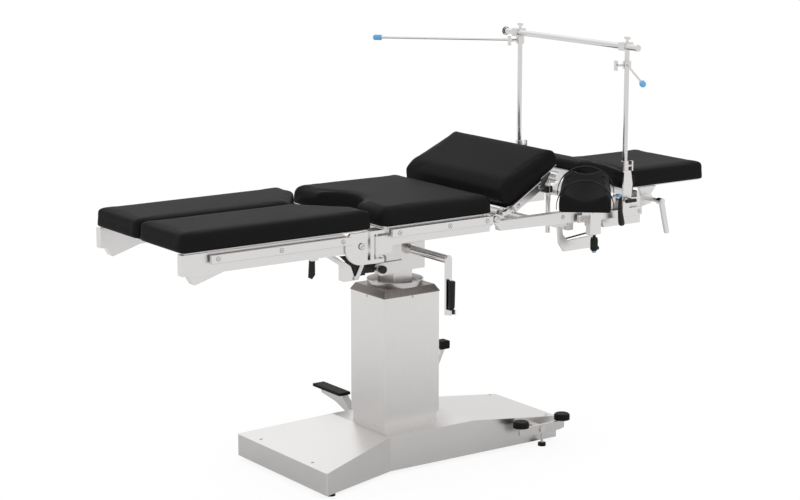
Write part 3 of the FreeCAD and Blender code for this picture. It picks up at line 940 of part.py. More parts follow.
# Screen frame: clamps on the back's rails, two posts, a cross bar and two arms that swing.
clamps = []
knobs = []
for tag, side in SIDES.items():
    lip = outward(side, f"{RAIL_INNER} + rail_thick + soft_gap", "6")
    toe = outward(side, f"{RAIL_INNER} - rail_gap + soft_gap", "rail_gap - 2 * soft_gap")
    saddle = outward(side, f"{RAIL_INNER} - rail_gap + soft_gap", "rail_gap + rail_thick + 6")
    link = outward(side, "screen_across + post_radius + 1", "6")
    screw = outward(side, "screen_across + post_radius + 3", "14")
    grip = outward(side, "screen_across + post_radius + 17", "8")
    wing = outward(side, "screen_across + post_radius + 25", "6")
    span = ("screen_along - 14", "screen_along + 14")
    rail_top = "back_rail_low + rail_height + soft_gap"
    clamps.append(joined("screen_clamp_" + tag, [
        block("jaw_lip_" + tag, span, (lip, f"{lip} + 6"), ("back_rail_low + 6", "jaw_high")),
        block("jaw_toe_" + tag, span, (toe, f"{toe} + rail_gap - 2 * soft_gap"), ("back_rail_low + 6", "jaw_high")),
        block("jaw_saddle_" + tag, span, (saddle, f"{saddle} + rail_gap + rail_thick + 6"), (rail_top, "jaw_high")),
        rounded(slab("link_plate_" + tag, "xz", link, "6", [
            ("screen_along - 16", "jaw_high - 15"), ("screen_along + 16", "jaw_high - 15"),
            ("screen_along + 22", "collar_low - 40"), ("screen_along + 14", "collar_low + 6"),
            ("screen_along - 14", "collar_low + 6"), ("screen_along - 17", "collar_low - 40")]), "6", runs_along("y")),
        rod("collar_" + tag, "z", "collar_low", "collar_height", "post_radius + 4", x="screen_along",
            y=f"{side} * screen_across"),
        rod("collar_screw_" + tag, "x", "screen_along + post_radius + 2", "16", "3.5", y=f"{side} * screen_across",
            z="collar_low + 18"),
        block("collar_wing_" + tag, ("screen_along + post_radius + 17", "screen_along + post_radius + 23"),
              (f"{side} * screen_across - 6", f"{side} * screen_across + 6"), ("collar_low + 2", "collar_low + 34")),
        rod("jaw_screw_" + tag, "y", screw, "14", "5", x="screen_along - 2", z="jaw_high - 10")]))
    knobs.append(joined("screen_knob_" + tag, [
        rod("knob_hub_" + tag, "y", grip, "8", "8", x="screen_along - 2", z="jaw_high - 10"),
        rod("knob_bar_" + tag, "x", "screen_along - 22", "40", "6", y=f"{wing} + 3", z="jaw_high - 10")]))
node("screen_knobs", joined("screen_knob_pair", knobs))
post_bores = [rod("post_bore_" + tag, "z", "collar_low - 1", "collar_height + 2", "post_radius + pin_clearance",
                  x="screen_along", y=f"{side} * screen_across") for tag, side in SIDES.items()]
node("screen_clamps", cut("screen_clamp_pair", joined("screen_clamp_solids", clamps), *post_bores))
node("screen_posts", joined("screen_post_pair", [
    rod("screen_post_" + tag, "z", "collar_low - 8", "screen_bar_height - collar_low - 5", "post_radius", x="screen_along",
        y=f"{side} * screen_across") for tag, side in SIDES.items()]))
bar_pieces = [rod("screen_round", "y", "-screen_bar_half", "2 * screen_bar_half", "screen_bar_radius",
                  x="screen_bar_along", z="screen_bar_height")]
for tag, side in SIDES.items():
    bar_pieces.append(block("bar_sleeve_" + tag, ("screen_bar_along - 13", "screen_along + 13"),
                            (f"{side} * screen_across - 14", f"{side} * screen_across + 14"),
                            ("screen_bar_height - 13 + soft_gap", "screen_bar_height + 13")))
    bar_pieces.append(rod("bar_cap_" + tag, "y", outward(side, "screen_bar_half", "6"), "6", "screen_bar_radius + 1",
                          x="screen_bar_along", z="screen_bar_height"))
    bar_pieces.append(rod("bar_screw_" + tag, "z", "screen_bar_height + 13", "12", "4", x="screen_along",
                          y=f"{side} * screen_across"))
    bar_pieces.append(block("bar_wing_" + tag, ("screen_along - 3", "screen_along + 3"),
                            (f"{side} * screen_across - 12", f"{side} * screen_across + 12"),
                            ("screen_bar_height + 22", "screen_bar_height + 30")))
node("screen_bar", joined("screen_bar_form", bar_pieces))
for tag, side in SIDES.items():
    height = "screen_arm_far_height" if side > 0 else "screen_arm_near_height"
    sleeve = rod("arm_sleeve_" + tag, "z", f"{height} - 12", "24", "post_radius + 6", x="screen_along",
                 y=f"{side} * screen_across")
    sleeve_bore = rod("arm_sleeve_bore_" + tag, "z", f"{height} - 13", "26", "post_radius + pin_clearance",
                      x="screen_along", y=f"{side} * screen_across")
    knob = joined("arm_knob_" + tag, [
        rod("arm_knob_stem_" + tag, "x", "screen_along - post_radius - 38", "34", "3.5", y=f"{side} * screen_across",
            z=height),
        block("arm_knob_wing_" + tag, ("screen_along - post_radius - 41", "screen_along - post_radius - 35"),
              (f"{side} * screen_across - 6", f"{side} * screen_across + 6"), (f"{height} - 16", f"{height} + 16"))])
    turn = "screen_arm_far_turn" if side > 0 else "screen_arm_near_turn"
    arm_bar = rod("arm_rod_" + tag, "x", "0", "screen_arm_length", "arm_rod_radius")
    arm_tip = joined("arm_tip_" + tag, [
        rod("arm_tip_rod_" + tag, "x", "screen_arm_length - 16", "16", "arm_rod_radius + 4"),
        ball("arm_tip_ball_" + tag, "arm_rod_radius + 4", "screen_arm_length", "0", "0")])
    swung = joined("arm_bar_" + tag, [arm_bar, arm_tip])
    swung.Placement = FreeCAD.Placement(FreeCAD.Vector(), FreeCAD.Rotation(FreeCAD.Vector(0, 0, 1), 1))
    swung.setExpression("Placement.Rotation.Angle", bound(turn))
    drive(swung, x=f"screen_along + (post_radius + 3) * cos({turn})",
          y=f"{side} * screen_across + (post_radius + 3) * sin({turn})", z=height)
    node("screen_arm_" + tag, cut("arm_" + tag, joined("arm_form_" + tag, [sleeve, knob, swung]), sleeve_bore))

# Arm support on the near rail: clamp, knob, cradle, padded trough, straps and lever.
jaw = f"-({RAIL_INNER}) - rail_thick - soft_gap - 22"
support = [
    block("support_jaw", ("support_along - 22", "support_along + 22"), (jaw, f"{jaw} + 22"),
          ("back_rail_low - 40", "back_rail_low + rail_height + 10")),
    block("support_lip", ("support_along - 22", "support_along + 22"), (f"-({RAIL_INNER}) - 12", f"-({RAIL_INNER})"),
          ("back_rail_low + rail_height + soft_gap", "back_rail_low + rail_height + 10")),
    block("support_toe", ("support_along - 22", "support_along + 22"), (f"-({RAIL_INNER}) - 12", f"-({RAIL_INNER}) - 3"),
          ("back_rail_low - 12", "back_rail_low - soft_gap")),
    rod("support_post", "z", "back_rail_low + rail_height + 10", "support_post_height", "support_post_radius",
        x="support_along", y="support_across"),
    slab("lever_plate", "xz", f"{jaw} + 2", "6", [
        ("support_along + 20", "back_rail_low + rail_height - 12"), ("handle_along + 9", "handle_high - 8"),
        ("handle_along + 6", "handle_high + 8"), ("handle_along - 8", "handle_high + 6"),
        ("support_along + 20", "back_rail_low + rail_height + 8")]),
    rod("lever_stud", "y", f"{jaw} - 8", "12", "flap_pin_radius", x="handle_along", z="handle_high")]
screw_bore = rod("support_screw_bore", "z", "back_rail_low - 41", "26", "support_screw_radius + pin_clearance",
                 x="support_along", y="support_across")
node("support_clamp", cut("support_clamp_solid", joined("support_clamp_form", support), screw_bore))
node("support_knob", joined("support_knob_form", [
    rod("support_screw", "z", "back_rail_low - 50", "30", "support_screw_radius", x="support_along", y="support_across"),
    rod("support_grip", "z", "back_rail_low - 90", "40", "11", x="support_along", y="support_across"),
    rod("support_grip_low", "z", "back_rail_low - 93", "3", "8.5", x="support_along", y="support_across",
        end_radius="11"),
    rod("support_knob_end", "z", "back_rail_low - 98", "6", "7", x="support_along", y="support_across")]))

swing_bore = rod("cradle_bore", "z", "cradle_low - 1", "cradle_thick + 2", "support_post_radius + pin_clearance",
                 x="support_along", y="support_across")
cradle_hub = rod("cradle_hub", "z", "cradle_low", "cradle_thick", "support_post_radius + 10", x="support_along",
                 y="support_across")
trough_turn = FreeCAD.Rotation(number("trough_yaw"), -number("trough_pitch"), 0)


def in_trough(thing):
    """Put a piece that was made along X into the trough's own direction."""
    thing.Placement = FreeCAD.Placement(FreeCAD.Vector(), trough_turn)
    drive(thing, x="trough_x", y="trough_y", z="trough_z")
    return thing


cradle_plate = in_trough(joined("cradle_plate", [
    block("cradle_sheet", ("30", "trough_length - 20"), ("-trough_half + 25", "trough_half - 25"), ("-5.3", "-0.3")),
    block("cradle_keel", ("60", "trough_length"), ("-12", "12"), ("-22", "-5"))]))
cradle_link = slab("cradle_link", "xy", "cradle_low", "cradle_thick", [
    ("support_along - 14", "support_across + 4"), ("support_along - 4", "support_across + 16"),
    ("cradle_x - 4", "cradle_y + 22"), ("cradle_x - 24", "cradle_y - 2"), ("cradle_x - 8", "cradle_y - 18"),
    ("support_along + 6", "support_across - 12")])
cradle_riser = block("cradle_riser", ("cradle_x - 11", "cradle_x + 9"), ("cradle_y - 11", "cradle_y + 9"),
                     ("cradle_low", "cradle_low + 54"))
node("support_cradle", cut("cradle", joined("cradle_form", [cradle_hub, cradle_link, cradle_riser, cradle_plate]),
                           swing_bore))
trough_block = slab("trough_block", "yz", "0", "trough_length", [
    ("-trough_half", "0"), ("trough_half", "0"), ("trough_half", "trough_high - 12"), ("trough_half - 4", "trough_high"),
    ("-trough_half + 4", "trough_high"), ("-trough_half", "trough_high - 12")])
trough_dip = rod("trough_dip", "x", "-1", "trough_length + 2", "trough_dip_radius", z="trough_floor + trough_dip_radius")
node("support_trough", in_trough(cut("trough_cut", trough_block, trough_dip)))
straps = []
for index in range(2):
    along = f"trough_length * (0.16 + 0.62 * {index})"
    outer = rod(f"strap_outer_{index}", "x", along, "strap_wide", "trough_half + strap_room + strap_thick", z="strap_centre")
    inner = rod(f"strap_inner_{index}", "x", f"{along} - 1", "strap_wide + 2", "trough_half + strap_room", z="strap_centre")
    keep = block(f"strap_keep_{index}", (f"{along} - 2", f"{along} + strap_wide + 4"), ("-trough_half * 2", "trough_half * 2"),
                 ("strap_centre", "strap_centre + trough_half * 2"))
    legs = [block(f"strap_leg_{index}_{hand}", (along, f"{along} + strap_wide"),
                  (start, f"{start} + strap_thick"), ("0", "strap_centre"))
            for hand, start in (("a", "-trough_half - strap_room - strap_thick"), ("b", "trough_half + strap_room"))]
    tabs = [block(f"strap_tab_{index}_{hand}", (along, f"{along} + strap_wide"), span, ("0", "9"))
            for hand, span in (("a", ("-trough_half - strap_room - 1", "-trough_half - soft_gap")),
                               ("b", ("trough_half + soft_gap", "trough_half + strap_room + 1")))]
    straps.append(joined(f"strap_{index}", [common(f"strap_arch_{index}", cut(f"strap_ring_{index}", outer, inner), keep)]
                         + legs + tabs))
node("support_straps", in_trough(joined("strap_pair", straps)))
handle_plate = slab("handle_plate", "xz", f"{jaw} - 9", "8", [
    ("handle_along - 8", "handle_high"), ("handle_along - 6", "handle_high - 50"), ("handle_along + 3", "handle_high - handle_drop"),
    ("handle_along + 13", "handle_high - handle_drop + 3"), ("handle_along + 9", "handle_high - 40"),
    ("handle_along + 8", "handle_high")])
handle_eye = rod("handle_eye", "y", f"{jaw} - 9", "8", "10", x="handle_along", z="handle_high")
handle_bore = rod("handle_bore", "y", f"{jaw} - 10", "10", "flap_pin_radius + pin_clearance", x="handle_along",
                  z="handle_high")
node("support_lever", cut("handle", joined("handle_form", [handle_plate, handle_eye]), handle_bore))

# Every object is sound before anything is written.
doc.recompute()
for item in doc.Objects:
    if "Invalid" in item.State or "Error" in item.State:
        raise RuntimeError(f"{item.Name} could not be made: {item.State}")
os.makedirs("parts", exist_ok=True)
for name, thing in NODES.items():
    if thing.Shape.isNull() or not thing.Shape.isValid():
        raise RuntimeError(f"{name} has no valid shape")
near_foot = FreeCAD.Vector(number("base_foot_end + foot_inset_along"), -number("base_foot_half - foot_inset_across"), 0)
for name, thing in NODES.items():
    shape = thing.Shape.copy()
    shape.translate(-near_foot)
    shape.exportStep(f"parts/{name}.step")
print(f"{len(NODES)} sub-parts written")
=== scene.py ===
"""Looks of an operating table: steel finishes, stuffed pads, grips, screws, floor, light and camera."""
from __future__ import annotations

import json
import logging
import math
import time
from dataclasses import dataclass
from enum import Enum
from typing import Callable, Optional, Sequence

import bmesh
import bpy
from mathutils import Matrix, Vector

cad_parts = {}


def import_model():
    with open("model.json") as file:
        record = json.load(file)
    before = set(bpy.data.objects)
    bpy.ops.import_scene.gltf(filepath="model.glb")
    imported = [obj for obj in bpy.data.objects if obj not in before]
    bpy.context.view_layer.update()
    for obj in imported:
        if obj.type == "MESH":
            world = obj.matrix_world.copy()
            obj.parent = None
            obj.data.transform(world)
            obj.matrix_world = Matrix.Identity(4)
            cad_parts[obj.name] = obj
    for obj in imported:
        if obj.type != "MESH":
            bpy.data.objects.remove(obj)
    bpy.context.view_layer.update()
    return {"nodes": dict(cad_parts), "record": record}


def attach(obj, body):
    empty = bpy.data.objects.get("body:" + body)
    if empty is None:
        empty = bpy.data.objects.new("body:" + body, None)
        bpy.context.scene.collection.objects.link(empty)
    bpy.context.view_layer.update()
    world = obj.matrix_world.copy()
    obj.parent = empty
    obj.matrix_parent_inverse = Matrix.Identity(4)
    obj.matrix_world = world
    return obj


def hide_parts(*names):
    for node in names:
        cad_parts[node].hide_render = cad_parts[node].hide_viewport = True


LOG = logging.getLogger("operating_table")
Point = tuple[float, float, float]
Span = tuple[float, float]

# Pieces are drawn about the column's axis and then set off from the near foot's sole.
DATUM = Vector((0.397, 0.228, 0.0))


class Grain(Enum):
    """Which way the fine lines of a brushed finish run, as the stretch of its pattern."""

    ALONG_X = (3.0, 420.0, 420.0)
    ALONG_Y = (420.0, 3.0, 420.0)
    ALONG_Z = (420.0, 420.0, 3.0)
    EVEN = (260.0, 260.0, 260.0)


@dataclass(frozen=True)
class Finish:
    """A surface finish and the strength of its small variations.

    Args:
        name: name of the material.
        colour: base colour.
        metallic: 1 for bare metal.
        roughness: lowest and highest roughness of the pattern.
        grain: direction of the pattern.
        tone: how far the colour strays from its base, as a share.
        bump: depth of the fine relief in metres.
        coat: strength of a clear layer.
        cells: size of leather-like cells per metre, or 0 for none.
        specular: level of the mirror-like share.
    """

    name: str
    colour: Point
    metallic: float
    roughness: Span
    grain: Grain = Grain.EVEN
    tone: float = 0.06
    bump: float = 0.00002
    coat: float = 0.0
    cells: float = 0.0
    specular: float = 0.5

    def build(self) -> bpy.types.Material:
        """Make the material's nodes.

        Returns:
            The finished material.
        """
        material = bpy.data.materials.new(self.name)
        material.use_nodes = True
        nodes = material.node_tree.nodes
        links = material.node_tree.links
        shader = nodes["Principled BSDF"]
        shader.inputs["Metallic"].default_value = self.metallic
        shader.inputs["Coat Weight"].default_value = self.coat
        shader.inputs["Specular IOR Level"].default_value = self.specular
        place = nodes.new("ShaderNodeTexCoord")
        stretch = nodes.new("ShaderNodeMapping")
        stretch.inputs["Scale"].default_value = self.grain.value
        links.new(place.outputs["Object"], stretch.inputs["Vector"])
        fine = nodes.new("ShaderNodeTexNoise")
        fine.inputs["Scale"].default_value = 1.0
        fine.inputs["Detail"].default_value = 4.0
        links.new(stretch.outputs["Vector"], fine.inputs["Vector"])
        broad = nodes.new("ShaderNodeTexNoise")
        broad.inputs["Scale"].default_value = 6.0
        broad.inputs["Detail"].default_value = 3.0
        links.new(place.outputs["Object"], broad.inputs["Vector"])
        blend = nodes.new("ShaderNodeMix")
        blend.data_type = "FLOAT"
        blend.inputs["Factor"].default_value = 0.35
        links.new(fine.outputs["Fac"], blend.inputs["A"])
        links.new(broad.outputs["Fac"], blend.inputs["B"])
        dull = nodes.new("ShaderNodeMapRange")
        dull.inputs["From Min"].default_value = 0.3
        dull.inputs["From Max"].default_value = 0.7
        dull.inputs["To Min"].default_value = self.roughness[0]
        dull.inputs["To Max"].default_value = self.roughness[1]
        links.new(blend.outputs["Result"], dull.inputs["Value"])
        links.new(dull.outputs["Result"], shader.inputs["Roughness"])
        ramp = nodes.new("ShaderNodeValToRGB")
        ramp.color_ramp.elements[0].position = 0.32
        ramp.color_ramp.elements[1].position = 0.68
        ramp.color_ramp.elements[0].color = (*[part * (1 - self.tone) for part in self.colour], 1.0)
        ramp.color_ramp.elements[1].color = (*[min(1.0, part * (1 + self.tone)) for part in self.colour], 1.0)
        links.new(blend.outputs["Result"], ramp.inputs["Fac"])
        links.new(ramp.outputs["Color"], shader.inputs["Base Color"])
        relief = nodes.new("ShaderNodeBump")
        relief.inputs["Strength"].default_value = 0.5
        relief.inputs["Distance"].default_value = self.bump
        links.new(self.height(nodes, links, place, fine), relief.inputs["Height"])
        links.new(relief.outputs["Normal"], shader.inputs["Normal"])
        return material

    def height(self, nodes: bpy.types.Nodes, links: bpy.types.NodeLinks, place: bpy.types.Node,
               fine: bpy.types.Node) -> bpy.types.NodeSocket:
        """Pick the socket that gives the relief: fine lines, or leather cells over them.

        Args:
            nodes: nodes of the material.
            links: links of the material.
            place: the coordinates.
            fine: the fine noise.

        Returns:
            The socket with the height.
        """
        if not self.cells:
            return fine.outputs["Fac"]
        cells = nodes.new("ShaderNodeTexVoronoi")
        cells.feature = "SMOOTH_F1"
        cells.inputs["Scale"].default_value = self.cells
        links.new(place.outputs["Object"], cells.inputs["Vector"])
        both = nodes.new("ShaderNodeMath")
        both.operation = "ADD"
        links.new(cells.outputs["Distance"], both.inputs[0])
        links.new(fine.outputs["Fac"], both.inputs[1])
        return both.outputs["Value"]


STEEL = (0.70, 0.685, 0.675)
FINISHES: dict[str, Finish] = {
    "steel_x": Finish("brushed_steel_lengthwise", STEEL, 1.0, (0.27, 0.35), Grain.ALONG_X, tone=0.025),
    "steel_y": Finish("brushed_steel_crosswise", STEEL, 1.0, (0.27, 0.35), Grain.ALONG_Y, tone=0.025),
    "steel_z": Finish("brushed_steel_upright", STEEL, 1.0, (0.28, 0.36), Grain.ALONG_Z, tone=0.025),
    "cast": Finish("satin_casting", (0.66, 0.645, 0.635), 1.0, (0.26, 0.36), tone=0.03),
    "dusk": Finish("dark_satin_lid", (0.20, 0.18, 0.17), 1.0, (0.24, 0.32), tone=0.04),
    "bright": Finish("bright_bar", (0.66, 0.645, 0.635), 1.0, (0.10, 0.16), tone=0.02, bump=0.000003),
    "cover": Finish("black_upholstery", (0.0085, 0.0085, 0.009), 0.0, (0.50, 0.58), tone=0.08, bump=0.00006,
                    cells=900.0, specular=0.045),
    "plastic": Finish("black_plastic", (0.007, 0.0065, 0.006), 0.0, (0.30, 0.42), tone=0.12, bump=0.00002,
                      specular=0.22),
    "rubber": Finish("black_rubber", (0.008, 0.0075, 0.007), 0.0, (0.50, 0.65), tone=0.12, bump=0.00004,
                     specular=0.12),
    # Dark finish for the lines round screws and small dark parts, and painted shade on the sheet behind each leg's
    # hinge.
    "gap": Finish("dark_trim_and_painted_shade", (0.030, 0.027, 0.025), 0.0, (0.60, 0.75), tone=0.10, specular=0.2),
    "blue": Finish("blue_cap", (0.115, 0.385, 0.680), 0.0, (0.30, 0.42), tone=0.05),
}

# Which finish each steel node takes; the rest follow their material slot.
BRUSHING: dict[str, str] = {
    "column_cover": "steel_z", "column_inner_cover": "steel_z", "base_cover": "steel_x",
    "crank_arm": "bright", "head_bracket": "steel_y", "column_cap": "dusk",
    "back_rails": "steel_x", "seat_rails": "steel_x",
}
SLOT_FINISH: dict[str, str] = {
    "stainless": "steel_x", "stainless_cast": "cast", "bright_steel": "bright", "upholstery": "cover",
    "black_plastic": "plastic", "black_rubber": "rubber", "blue_plastic": "blue",
}


class Stock:
    """Materials made once and handed to every piece."""

    def __init__(self) -> None:
        """Make every finish."""
        self.made: dict[str, bpy.types.Material] = {key: finish.build() for key, finish in FINISHES.items()}

    def dress(self, piece: bpy.types.Object, key: str) -> None:
        """Give a piece one finish."""
        piece.data.materials.clear()
        piece.data.materials.append(self.made[key])


def finished(name: str, mesh_maker: bmesh.types.BMesh, body: str, stock: Stock, key: str,
             smooth: bool = True) -> bpy.types.Object:
    """Turn a bmesh into a piece that rides on a body.

    Args:
        name: name of the piece.
        mesh_maker: its shape; freed here.
        body: the body that it moves with.
        stock: the materials.
        key: which finish.
        smooth: whether faces are shaded smooth by angle.

    Returns:
        The new object.
    """
    bmesh.ops.remove_doubles(mesh_maker, verts=mesh_maker.verts[:], dist=1e-6)
    bmesh.ops.recalc_face_normals(mesh_maker, faces=mesh_maker.faces[:])
    mesh = bpy.data.meshes.new(name)
    mesh_maker.to_mesh(mesh)
    mesh_maker.free()
    mesh.transform(Matrix.Translation(DATUM))
    piece = bpy.data.objects.new(name, mesh)
    bpy.context.scene.collection.objects.link(piece)
    if smooth:
        mesh.shade_smooth()
        mesh.set_sharp_from_angle(angle=math.radians(35))
    stock.dress(piece, key)
    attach(piece, body)
    LOG.info("%s: %d faces", name, len(mesh.polygons))
    return piece


def outline_solid(corners: Sequence[Span], low: float, high: float) -> bmesh.types.BMesh:
    """Extrude a plan outline to a solid.

    Args:
        corners: corners of the plan.
        low: height of the under side.
        high: height of the top.

    Returns:
        The solid.
    """
    shape = bmesh.new()
    face = shape.faces.new([shape.verts.new((x, y, low)) for x, y in corners])
    raised = bmesh.ops.extrude_face_region(shape, geom=[face])
    tops = [item for item in raised["geom"] if isinstance(item, bmesh.types.BMVert)]
    bmesh.ops.translate(shape, verts=tops, vec=(0.0, 0.0, high - low))
    bmesh.ops.recalc_face_normals(shape, faces=shape.faces[:])
    return shape


def soften(shape: bmesh.types.BMesh, choose: Callable[[bmesh.types.BMEdge], bool], radius: float,
           segments: int = 4) -> None:
    """Bevel the edges that choose picks."""
    edges = [edge for edge in shape.edges if choose(edge)]
    bmesh.ops.bevel(shape, geom=edges, offset=radius, offset_type="OFFSET", affect="EDGES", segments=segments,
                    profile=0.5, material=-1, clamp_overlap=True)


def upright(edge: bmesh.types.BMEdge) -> bool:
    """Whether an edge stands along Z."""
    run = edge.verts[1].co - edge.verts[0].co
    return abs(run.x) + abs(run.y) < 1e-6


@dataclass
class Pad:
    """One stuffed pad, built flat and turned about a line along Y.

    Args:
        node: the node it stands for.
        body: the body it rides on.
        corners: its plan.
        low: its under side.
        high: its top.
        notch: centre and radius of a round notch, or None.
        turn: x, z and angle of its turn, positive lifting the head end.
        voxel: size of the remesh.
        cap: how far a point may swell.
        profile: corners of its side view in x and z, where it isn't cut from a plan.
        shrink: what it gives up on every side before it is stuffed.
        corner: radius of its upright corners.
        edge: radius round its top.
    """

    node: str
    body: str
    corners: Sequence[Span]
    low: float
    high: float
    notch: Optional[Point] = None
    turn: Optional[Point] = None
    voxel: float = 0.0060
    cap: float = 0.0028
    profile: Sequence[Span] = ()
    shrink: float = 0.0012
    corner: float = 0.017
    edge: float = 0.013

    def plan(self) -> bmesh.types.BMesh:
        """The pad's plain form, a little smaller than it ends up."""
        if self.profile:
            return self.side_cut()
        shape = outline_solid(self.corners, self.low, self.high)
        soften(shape, upright, self.corner, 4)
        tops = {edge for face in shape.faces if face.normal.z > 0.5 for edge in face.edges}
        soften(shape, lambda edge: edge in tops, self.edge, 5)
        return shape

    def side_cut(self) -> bmesh.types.BMesh:
        """A form drawn in side view and carried across the table."""
        across = [y for _, y in self.corners]
        shape = bmesh.new()
        face = shape.faces.new([shape.verts.new((x, min(across), z)) for x, z in self.profile])
        swept = bmesh.ops.extrude_face_region(shape, geom=[face])
        moved = [item for item in swept["geom"] if isinstance(item, bmesh.types.BMVert)]
        bmesh.ops.translate(shape, verts=moved, vec=(0.0, max(across) - min(across), 0.0))
        bmesh.ops.recalc_face_normals(shape, faces=shape.faces[:])
        soften(shape, lambda edge: max(vertex.co.z for vertex in edge.verts) > self.low + 0.004, self.edge, 4)
        return shape

    def place(self) -> Matrix:
        """Where the pad goes from the flat it is made in."""
        if not self.turn:
            return Matrix()
        x, z, angle = self.turn
        return (Matrix.Translation((x, 0.0, z)) @ Matrix.Rotation(-math.radians(angle), 4, "Y")
                @ Matrix.Translation((-x, 0.0, -z)))

    def build(self, stock: Stock) -> bpy.types.Object:
        """Make, stuff and place the pad.

        Args:
            stock: the materials.

        Returns:
            The pad.
        """
        started = time.monotonic()
        shape = self.plan()
        piece = finished(self.node + "_cushion", shape, self.body, stock, "cover")
        piece.data.transform(Matrix.Translation(-DATUM))
        if self.notch:
            self.bite(piece)
        remesh = piece.modifiers.new("Remesh", "REMESH")
        remesh.mode = "VOXEL"
        remesh.voxel_size = self.voxel
        apply_modifiers(piece)
        middle = sum((vertex.co for vertex in piece.data.vertices), Vector()) / len(piece.data.vertices)
        half = [max(abs(vertex.co[axis] - middle[axis]) for vertex in piece.data.vertices) for axis in range(3)]
        for vertex in piece.data.vertices:
            for axis in (0, 1):
                vertex.co[axis] = middle[axis] + (vertex.co[axis] - middle[axis]) * (1 - self.shrink / half[axis])
            if vertex.co.z > self.low:
                vertex.co.z = self.low + (vertex.co.z - self.low) * (1 - self.shrink * 1.2 / (self.high - self.low))
        self.stuff(piece)
        smooth = piece.modifiers.new("Smooth", "SMOOTH")
        smooth.factor = 0.5
        smooth.iterations = 3
        finer = piece.modifiers.new("Finer", "SUBSURF")
        finer.levels = 1
        finer.render_levels = 1
        apply_modifiers(piece)
        piece.data.transform(Matrix.Translation(DATUM) @ self.place())
        piece.data.shade_smooth()
        stock.dress(piece, "cover")
        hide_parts(self.node)
        LOG.info("%s stuffed: %d faces in %.1f s", piece.name, len(piece.data.polygons), time.monotonic() - started)
        return piece

    def bite(self, piece: bpy.types.Object) -> None:
        """Cut the round notch with a soft rim."""
        x, y, radius = self.notch
        tool = bmesh.new()
        bmesh.ops.create_cone(tool, cap_ends=True, segments=96, radius1=radius, radius2=radius,
                              depth=(self.high - self.low) * 2)
        bmesh.ops.translate(tool, verts=tool.verts[:], vec=(x, y, (self.low + self.high) / 2))
        mesh = bpy.data.meshes.new("notch_tool")
        tool.to_mesh(mesh)
        tool.free()
        cutter = bpy.data.objects.new("notch_tool", mesh)
        bpy.context.scene.collection.objects.link(cutter)
        step = piece.modifiers.new("Notch", "BOOLEAN")
        step.operation = "DIFFERENCE"
        step.object = cutter
        step.solver = "EXACT"
        apply_modifiers(piece)
        bpy.data.objects.remove(cutter)

    def stuff(self, piece: bpy.types.Object) -> None:
        """Swell the covering over a board that holds its under side flat."""
        rest = [vertex.co.copy() for vertex in piece.data.vertices]
        group = piece.vertex_groups.new(name="board")
        group.add([index for index, point in enumerate(rest) if point.z < self.low + self.voxel], 1.0, "REPLACE")
        cloth = piece.modifiers.new("Cloth", "CLOTH")
        settings = cloth.settings
        settings.vertex_group_mass = "board"
        settings.use_pressure = True
        settings.uniform_pressure_force = 4.0
        settings.effector_weights.gravity = 0.0
        settings.quality = 3
        settings.tension_stiffness = 18.0
        settings.compression_stiffness = 18.0
        settings.bending_stiffness = 0.6
        scene = bpy.context.scene
        for frame_number in range(1, 21):
            scene.frame_set(frame_number)
        shown = piece.evaluated_get(bpy.context.evaluated_depsgraph_get())
        swollen = [vertex.co.copy() for vertex in shown.data.vertices]
        piece.modifiers.remove(cloth)
        scene.frame_set(1)
        for index, vertex in enumerate(piece.data.vertices):
            move = swollen[index] - rest[index]
            if move.length > self.cap:
                move *= self.cap / move.length
            vertex.co = rest[index] + move
            vertex.co.z = max(vertex.co.z, self.low)
        piece.vertex_groups.clear()


def apply_modifiers(piece: bpy.types.Object) -> None:
    """Bake a piece's modifiers into its mesh."""
    graph = bpy.context.evaluated_depsgraph_get()
    graph.update()
    baked = bpy.data.meshes.new_from_object(piece.evaluated_get(graph), depsgraph=graph)
    old = piece.data
    piece.modifiers.clear()
    piece.data = baked
    baked.name = piece.name
    bpy.data.meshes.remove(old)


def lathe(profile: Sequence[Span], segments: int = 32) -> bmesh.types.BMesh:
    """Turn a profile of radius and height round Z.

    Args:
        profile: radius and height of each corner, from one end on the axis to the other.
        segments: steps of the full turn.

    Returns:
        The turned form.
    """
    shape = bmesh.new()
    line = [shape.verts.new((radius, 0.0, height)) for radius, height in profile]
    for first, second in zip(line, line[1:]):
        shape.edges.new((first, second))
    bmesh.ops.spin(shape, geom=shape.verts[:] + shape.edges[:], cent=(0.0, 0.0, 0.0), axis=(0.0, 0.0, 1.0),
                   angle=math.tau, steps=segments, use_merge=True, use_duplicate=False)
    bmesh.ops.remove_doubles(shape, verts=shape.verts[:], dist=1e-6)
    bmesh.ops.recalc_face_normals(shape, faces=shape.faces[:])
    return shape


def merge(into: bmesh.types.BMesh, part: bmesh.types.BMesh, place: Matrix) -> None:
    """Add a part to a form at a place, and free the part."""
    part.transform(place)
    mesh = bpy.data.meshes.new("part")
    part.to_mesh(mesh)
    part.free()
    into.from_mesh(mesh)
    bpy.data.meshes.remove(mesh)


def aimed(place: Sequence[float], outward: Sequence[float], turn: float = 0.0) -> Matrix:
    """The place of a part made along Z, aimed outward and turned about that line."""
    lean = Vector((0.0, 0.0, 1.0)).rotation_difference(Vector(outward).normalized()).to_matrix().to_4x4()
    return Matrix.Translation(Vector(place)) @ lean @ Matrix.Rotation(turn, 4, "Z")


